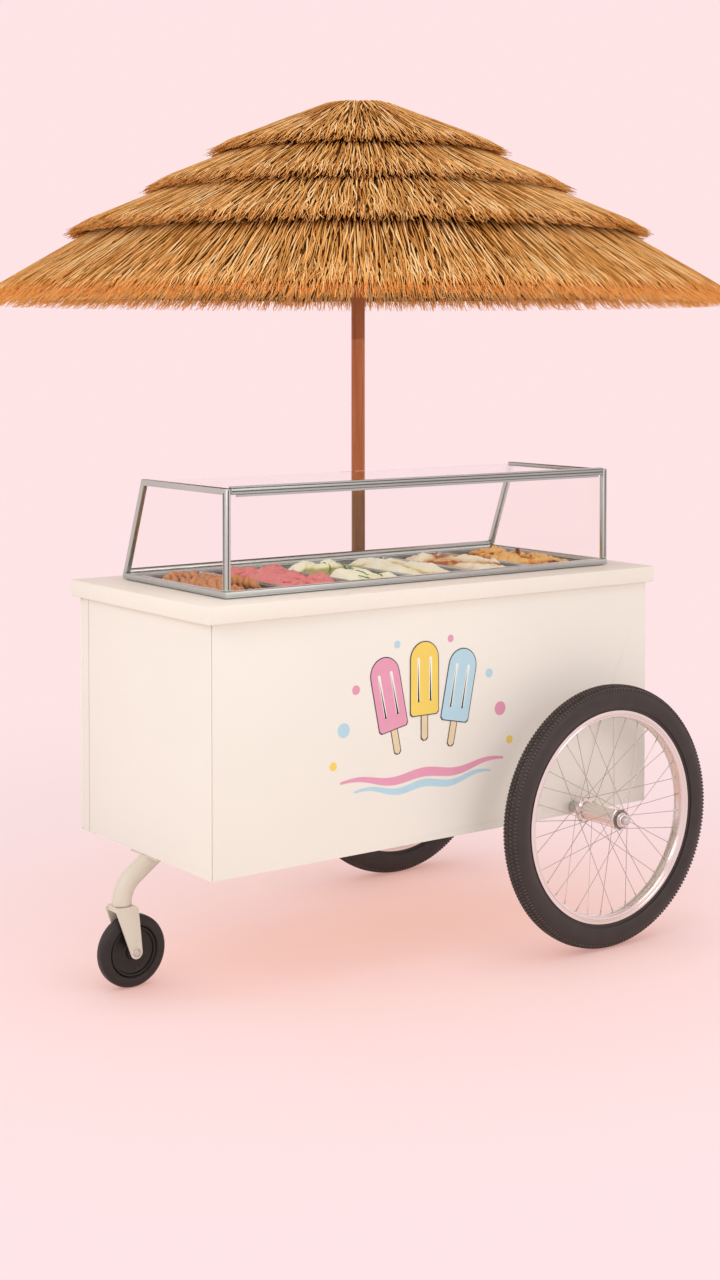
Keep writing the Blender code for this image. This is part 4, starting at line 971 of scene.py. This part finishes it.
# Pan by pan: the relief, the tones from its hollows to its tops, which paint shade into the hollows
# and light onto the tops, and for some a second colour in patches of a scale, which set in between
# two levels of a noise
TONE_PLACES = (0.25, 0.50, 0.85)
FLAVOURS = (
    {"relief": chocolate,
     "tones": ((0.070, 0.017, 0.005), (0.415, 0.138, 0.038), (0.610, 0.262, 0.090))},
    {"relief": strawberry, "second": (0.480, 0.045, 0.058), "levels": (0.60, 0.72), "scale": 55.0,
     "tones": ((0.400, 0.026, 0.035), (0.660, 0.105, 0.118), (0.810, 0.265, 0.262))},
    {"relief": pistachio,
     "tones": ((0.460, 0.440, 0.170), (0.900, 0.880, 0.540), (1.000, 0.990, 0.780))},
    {"relief": vanilla,
     "tones": ((0.620, 0.520, 0.260), (0.960, 0.890, 0.600), (1.000, 0.980, 0.800))},
    {"relief": caramel_ripple, "second": (0.480, 0.130, 0.030), "levels": (0.53, 0.60), "scale": 16.0,
     "tones": ((0.720, 0.430, 0.190), (0.930, 0.740, 0.480), (1.000, 0.930, 0.740))},
    {"relief": toasted, "second": (0.200, 0.045, 0.012), "levels": (0.58, 0.66), "scale": 26.0,
     "places": (0.20, 0.48, 0.80),
     "tones": ((0.360, 0.095, 0.016), (0.850, 0.360, 0.070), (1.000, 0.610, 0.220))})


def ice_look(number, flavour):
    """Ice cream: soft tone from lump to lump, with painted shade in the hollows and painted light on the
    tops, a second colour in patches and a moist skin.
    """
    material, tree, shader = new_material(f"ice_look_{number}")
    height = add_node(tree, "ShaderNodeAttribute", attribute_name="relief").outputs["Fac"]
    # The relief picks the tone: painted shade in the hollows, painted light on the tops
    height = math_node(tree, "MULTIPLY_ADD", height, 0.95, -0.12)
    tone = math_node(tree, "MULTIPLY_ADD", noise(tree, 38.0, 4.0, 0.6), 0.40, height, clamp=True)
    colour = ramp(tree, tone, *zip(flavour.get("places", TONE_PLACES), flavour["tones"]))
    if "second" in flavour:
        start, end = flavour["levels"]
        patches = noise(tree, flavour["scale"], 4.0, 0.55, (1.0, 0.6, 1.0))
        colour = mix(tree, ramp(tree, patches, (start, 0.0), (end, 1.0)), colour, flavour["second"])
    fill(tree, shader, {
        "Base Color": colour,
        "Roughness": ramp(tree, noise(tree, 50.0), (0.3, 0.40), (0.8, 0.62)),
        "Subsurface Weight": 0.12,
        "Subsurface Radius": (0.006, 0.004, 0.003),
        "Normal": bump(tree, noise(tree, 420.0, 4.0, 0.65), 0.35, 0.0008)})
    return material


def rounded_corners(places, half):
    """Grid places over a rectangle, drawn in where they lie in its rounded corners."""
    inner = [size - HEAP_CORNER for size in half]
    past = [np.maximum(np.abs(place) - edge, 0) / HEAP_CORNER for place, edge in zip(places, inner)]
    reach = [own * np.sqrt(1 - other ** 2 / 2) for own, other in zip(past, past[::-1])]
    return [np.sign(place) * (np.minimum(np.abs(place), edge) + HEAP_CORNER * more)
            for place, edge, more in zip(places, inner, reach)]


def heap(number):
    """One heap as a fine grid over the pan, rounded at its corners and closed below."""
    flavour = FLAVOURS[number - 1]
    node = f"ice_cream_{number}"
    low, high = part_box(node)
    centre, half = (low + high) / 2, (high - low) / 2
    rim_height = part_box(f"pan_{number}")[1].z - 0.002
    foot = rim_height - HEAP_SUNK
    nx, ny = HEAP_STEPS
    u, v = np.meshgrid(np.linspace(-1, 1, nx + 1), np.linspace(-1, 1, ny + 1), indexing="ij")
    x, y = rounded_corners((u * half.x, v * half.y), (half.x, half.y))
    spread = 1 + 0.09 * hills(x + 3 * number, y, 0.06, 90 + number, 2)
    wide, long = np.minimum(1, np.abs(u) * spread), np.minimum(1, np.abs(v) * (spread + 0.02))
    dome = (1 - wide ** 3.2) ** 0.75 * (1 - long ** 5) ** 0.80
    dome = dome * (0.74 + 0.26 * smooth_step(-0.9, 0.2, v))
    detail = flavour["relief"](x + 3 * number, y, u, v)
    lift = (high.z - rim_height) * HEAP_LIFT + HEAP_SUNK
    z = np.clip(foot + lift * dome + HEAP_GRAIN * detail * np.minimum(1, dome * 1.7), foot, high.z)
    z[[0, -1], :] = foot
    z[:, [0, -1]] = foot
    points = np.stack((centre.x + x, centre.y + y, z), axis=2).reshape(-1, 3)
    index = np.arange(z.size).reshape(z.shape)
    tops = np.stack((index[:-1, :-1], index[1:, :-1], index[1:, 1:], index[:-1, 1:]), axis=2)
    around = np.concatenate((index[:, 0], index[-1, 1:], index[-2::-1, -1], index[0, -2:0:-1]))
    base = len(points) + np.arange(len(around))
    skirt = points[around] - (0, 0, HEAP_SKIRT)
    skirt += (np.array(centre) - skirt) * HEAP_DRAWN_IN
    sides = np.stack((np.roll(around, -1), around, base, np.roll(base, -1)), axis=1)
    faces = tops.reshape(-1, 4).tolist() + sides.tolist() + [base[::-1].tolist()]
    item = mesh_object(f"ice_cream_heap_{number}", np.concatenate((points, skirt)), faces,
                       ice_look(number, flavour))
    # The relief each point stands at, which the look turns into painted shade in hollows and light on tops
    add_layer(item, "relief", np.append(smooth_step(-0.007, 0.007, detail), np.zeros(len(skirt))))
    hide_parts(node)
    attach(item, "cart")
    return item


HERB_COUNT = 13
HERB_STEPS = 8
HERB_LENGTH = (0.030, 0.060)
HERB_HALF = (0.0016, 0.0030)
HERB_THICK = 0.0009


def herb_sprigs(item):
    """Thin green leaves lying on the third pan."""
    low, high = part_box("ice_cream_3")
    rng = np.random.default_rng(77)
    material, tree, shader = new_material("herb_look")
    green = ramp(tree, noise(tree, 160.0), (0.3, (0.050, 0.130, 0.020)), (0.7, (0.150, 0.270, 0.060)))
    fill(tree, shader, {"Base Color": green, "Roughness": 0.5})
    shape = bmesh.new()
    up = Vector((0, 0, HERB_THICK))
    for _ in range(HERB_COUNT):
        x = rng.uniform(low.x + 0.04, high.x - 0.04)
        y = rng.uniform(low.y + 0.05, high.y - 0.06)
        turn = rng.uniform(0.9, 2.4)
        length, half = rng.uniform(*HERB_LENGTH), rng.uniform(*HERB_HALF)
        rows = []
        for step in range(HERB_STEPS + 1):
            share = step / HERB_STEPS
            reach = length * (share - 0.5)
            bend = 0.004 * math.sin(3 * share)
            above = (x + reach * math.cos(turn) + bend, y + reach * math.sin(turn), 3.0)
            hit, middle, _, _ = item.ray_cast(above, (0, 0, -1))
            if not hit:
                break
            middle.z = min(middle.z + 0.0012, high.z - 0.0012)
            wide = half * math.sin(math.pi * min(0.97, 0.06 + share * 0.92))
            side = Vector((-math.sin(turn), math.cos(turn), 0)) * wide
            rows.append([shape.verts.new(middle + offset) for offset in (side, up, -side, -up)])
        if len(rows) > 1:
            tube(shape, rows)
    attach(joined("herb_sprigs", shape, material), "cart")


# Front design: three plain lollies, dots and two ribbons, all flat transfers

FRONT_FILM = 0.0004
LINE = 0.0022
DESIGN_PLACE = (0.590, 0.660)
# Forms of a lolly, as a width with its low and high end from the lolly's middle
STICK = (0.017, -0.135, -0.060)
LOLLY = (0.082, -0.075, 0.098)
GROOVE = (0.0075, -0.045, 0.062)
ARC_STEPS = 14
RIBBON_STEPS = 48
RIBBON_SAG = 0.010
RIBBON_WAVES = 2.5
DOT_STEPS = 28
INKS = {
    "ink": (0.020, 0.026, 0.040), "pink": (0.800, 0.330, 0.470), "blue": (0.480, 0.680, 0.790),
    "yellow": (0.910, 0.640, 0.120), "stick": (0.800, 0.620, 0.400), "white": (0.930, 0.900, 0.820)}
# Lollies as (aside, tilt, ink, lift), ribbons as (reach, height, width, ink)
LOLLIES = ((-0.105, -0.20, "pink", 0.0), (0.105, 0.20, "blue", 0.0), (0.0, 0.0, "yellow", 0.026))
RIBBONS = ((0.245, 0.478, 0.022, "pink"), (0.205, 0.452, 0.018, "blue"))
# Pairs of dots as (aside, height, radius, left ink, right ink)
DOTS = ((0.235, 0.600, 0.017, "blue", "pink"), (0.200, 0.690, 0.011, "pink", "blue"),
        (0.265, 0.520, 0.010, "yellow", "yellow"), (0.080, 0.785, 0.009, "blue", "pink"))


def flat_look(name, colour):
    """A printed transfer with a slight unevenness."""
    material, tree, shader = new_material(name)
    low = tuple(c * 0.96 for c in colour)
    fill(tree, shader, {
        "Base Color": ramp(tree, noise(tree, 30.0), (0.3, low), (0.7, colour)),
        "Roughness": 0.38,
        "Normal": bump(tree, noise(tree, 300.0), 0.05, 0.0002)})
    return material


def lolly_outline(centre, tilt, width, low, high, grow=0.0):
    """A lolly's outline: straight sides, round top and slightly cut corners at the foot."""
    half = width / 2 + grow
    points = [(-half, low + 0.006 - grow), (-half + 0.006, low - grow), (half - 0.006, low - grow),
              (half, low + 0.006 - grow)]
    top = high - width / 2
    for step in range(ARC_STEPS + 1):
        turn = math.pi * step / ARC_STEPS
        points.append((half * math.cos(turn), top + half * math.sin(turn)))
    cos, sin = math.cos(tilt), math.sin(tilt)
    return [(centre[0] + x * cos + z * sin, centre[1] - x * sin + z * cos) for x, z in points]


def ribbon_outline(middle_x, reach, height, width):
    """A waving ribbon as one closed outline."""
    upper, lower = [], []
    for step in range(RIBBON_STEPS + 1):
        share = step / RIBBON_STEPS
        x = middle_x - reach + 2 * reach * share
        bow = math.sin(math.pi * share)
        z = height - RIBBON_SAG * bow + 0.006 * math.sin(RIBBON_WAVES * math.tau * share)
        thick = width / 2 * (0.25 + 0.75 * bow)
        upper.append((x, z + thick))
        lower.append((x, z - thick))
    return upper + lower[::-1]


def front_design():
    """Pastel transfers on the customers' side, between the left corner and the wheel."""
    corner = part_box("front_panel")[0]
    front = corner.y - 0.00005
    middle_x, middle_z = corner.x + DESIGN_PLACE[0], DESIGN_PLACE[1]
    shape = bmesh.new()

    def add_form(points, films, ink, order=0):
        """A flat form of (x, z) points, some films thick, on the front or over earlier lollies."""
        foot = front - order * FRONT_FILM
        rows = [[shape.verts.new((x, y, z)) for x, z in points] for y in (foot, foot - films * FRONT_FILM)]
        for face in tube(shape, rows):
            face.material_index = list(INKS).index(ink)

    for order, (aside, tilt, own, lift) in enumerate(LOLLIES):
        centre = (middle_x + aside, middle_z + lift)
        for form, edge_films, films, ink in ((STICK, 1.0, 1.4, "stick"), (LOLLY, 1.8, 2.4, own)):
            add_form(lolly_outline(centre, tilt, *form, LINE), edge_films, "ink", order)
            add_form(lolly_outline(centre, tilt, *form), films, ink, order)
        for groove in (-0.018, 0.018):
            spot = (centre[0] + groove * math.cos(tilt), centre[1] - groove * math.sin(tilt))
            add_form(lolly_outline(spot, tilt, *GROOVE), 2.9, "white", order)
    for reach, height, width, ink in RIBBONS:
        add_form(ribbon_outline(middle_x, reach, height, width), 1.0, ink)
    for aside, height, radius, left, right in DOTS:
        for x, ink in ((middle_x - aside, left), (middle_x + aside, right)):
            add_form([(x + radius * math.cos(turn), height + radius * math.sin(turn))
                      for turn in turns(DOT_STEPS)], 1.0, ink)
    looks = [flat_look(f"transfer_{key}", colour) for key, colour in INKS.items()]
    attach(joined("front_design", shape, *looks, sharp=0), "cart")


# Trim of the glass case and the cabinet

SEAL_PROUD = 0.0004
SEAL_SUNK = 0.001
SEAL_WIDE = 0.0032
BEAD_GAP = 0.0003


def case_trim(bead_look):
    """Dark seals let into the faces of the case's posts and rails, and beads along the front rail."""
    material, tree, shader = new_material("seal_look")
    grey = ramp(tree, noise(tree, 200.0), (0.3, (0.10, 0.10, 0.10)), (0.7, (0.17, 0.165, 0.16)))
    fill(tree, shader, {"Base Color": grey, "Roughness": 0.45, "Metallic": 0.6})
    shape = bmesh.new()
    half = SEAL_WIDE / 2
    rail_low, rail_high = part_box("case_front_rail")
    profile = rail_high.z - rail_low.z
    for side in ("left", "right"):
        low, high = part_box(f"case_frame_{side}")
        x, y = (low.x + high.x) / 2, low.y + profile / 2
        foot = low.z + 0.004
        add_box(shape, (x - half, low.y - SEAL_PROUD, foot), (x + half, low.y + SEAL_SUNK, high.z - 0.004))
        face = low.x - SEAL_PROUD if side == "left" else high.x - SEAL_SUNK
        add_box(shape, (face, y - half, foot), (face + SEAL_PROUD + SEAL_SUNK, y + half, high.z - 0.010))
    z = (rail_low.z + rail_high.z) / 2
    add_box(shape, (rail_low.x + 0.002, rail_low.y - SEAL_PROUD, z - half),
            (rail_high.x - 0.002, rail_low.y + SEAL_SUNK, z + half))
    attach(joined("case_seals", shape, material), "cart")
    beads = bmesh.new()
    add_box(beads, (rail_low.x + profile, rail_low.y + 0.001, rail_low.z - 0.0055),
            (rail_high.x - profile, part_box("glass_front")[0].y - BEAD_GAP, rail_low.z - BEAD_GAP))
    add_box(beads, (rail_low.x + 0.001, rail_low.y + 0.0005, rail_high.z + BEAD_GAP),
            (rail_high.x - 0.001, rail_low.y + 0.0120, rail_high.z + 0.0036))
    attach(joined("case_bead", beads, bead_look), "cart")


def end_seam():
    """The shut line beside the cabinet's back corner, on the left end, as a strip of painted shade."""
    low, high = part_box("left_panel")
    y = high.y - 0.030
    shape = bmesh.new()
    add_box(shape, (low.x - 0.0003, y - 0.0008, low.z + 0.001),
            (low.x + 0.0010, y + 0.0008, high.z - 0.001))
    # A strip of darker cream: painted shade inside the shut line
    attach(joined("end_seam", shape, painted("seam_shade_look", (0.52, 0.43, 0.36), 0.6)), "cart")


# Putting it together

def hard_pieces():
    """Finishes of the solids that keep their own shape, as (look, softened edge, nodes)."""
    cream = painted("cream_paint_look", CREAM)
    finishes = [
        (cream, 0.0012, ("front_panel", "left_panel", "right_panel", "back_panel", "back_door")),
        (cream, 0.0010, ("floor_board", "centre_divider", "floor_bearer", "door_pivot_plate")),
        (painted("counter_look", COUNTER_CREAM, 0.48), 0.0010, ("countertop",)),
        (metal("case_look", (0.58, 0.66, 0.62), 0.34, (1, 1, 0.05)), 0.0008,
         ("case_frame_left", "case_frame_right")),
        (metal("rail_look", (0.44, 0.52, 0.48), 0.34, (0.05, 1, 1)), 0.0008, ("case_front_rail",)),
        (metal("steel_look", (0.56, 0.63, 0.61), 0.30, (0.05, 1, 1)), 0.0004,
         ("case_sill", "case_back_bar", "pan_deck")),
        (metal("deck_look", (0.36, 0.41, 0.40), 0.32, (0.05, 1, 1)), 0.0004, ("cold_well",)),
        (metal("pan_look", (0.30, 0.34, 0.33), 0.34, (1, 1, 0.2)), 0.0,
         [f"pan_{number}" for number in range(1, len(FLAVOURS) + 1)]),
        (metal("zinc_look", (0.66, 0.68, 0.66), 0.36), 0.0006,
         ("axle", "axle_block_near", "axle_block_far", "pole_socket")),
        (clear_glass("glass_look", (0.985, 0.978, 0.970)), 0.0,
         ("glass_left", "glass_right", "glass_front", "glass_top")),
        (pole_wood(), 0.0, ("pole",)),
        (painted("rib_look", (0.62, 0.27, 0.07), 0.7, 0.10), 0.0010, ("canopy_frame",))]
    for node in ("caster_leg", "caster_fork"):
        finishes.append((painted(f"{node}_look", (0.705, 0.615, 0.520), 0.34), 0.0012, (node,)))
    for node in ("caster_bolt", "door_pull"):
        finishes.append((metal(f"{node}_look", (0.66, 0.66, 0.66), 0.20), 0.0004, (node,)))
    for look, edge, nodes in finishes:
        for node in nodes:
            dress(node, look, edge)


def main():
    bpy.context.scene.view_settings.view_transform = "Standard"
    camera()
    studio()
    floor()
    hard_pieces()
    for number, plan in enumerate(THATCH_PLANS, start=1):
        thatch_tier(number, plan)
    tyre_look = rubber("tyre_look", (0.0290, 0.0215, 0.0190), 0.44)
    # The tread blocks get a lighter copy of the tyre's rubber, a painted highlight against the darker
    # carcass
    block_highlight_look = rubber("tread_highlight_look", (0.066, 0.050, 0.044), 0.55)
    chrome = metal("chrome_look", (0.88, 0.850, 0.810), 0.22, (1, 1, 1), 30.0, 0.02)
    dull = metal("spoke_look", (0.56, 0.52, 0.47), 0.32)
    dark = metal("washer_look", (0.26, 0.245, 0.23), 0.40)
    for side in ("near", "far"):
        tyre(side, tyre_look, block_highlight_look)
        rim(side, chrome)
        hub(side, chrome, dull, dark)
    caster_wheel(rubber("caster_tyre_look", (0.0150, 0.0115, 0.0100), 0.46),
                 rubber("caster_core_look", (0.0115, 0.0090, 0.0080), 0.40))
    heaps = [heap(number) for number in range(1, len(FLAVOURS) + 1)]
    bpy.context.view_layer.update()
    herb_sprigs(heaps[2])
    front_design()
    case_trim(metal("bead_look", (0.50, 0.57, 0.54), 0.26, (0.05, 1, 1)))
    end_seam()


main()
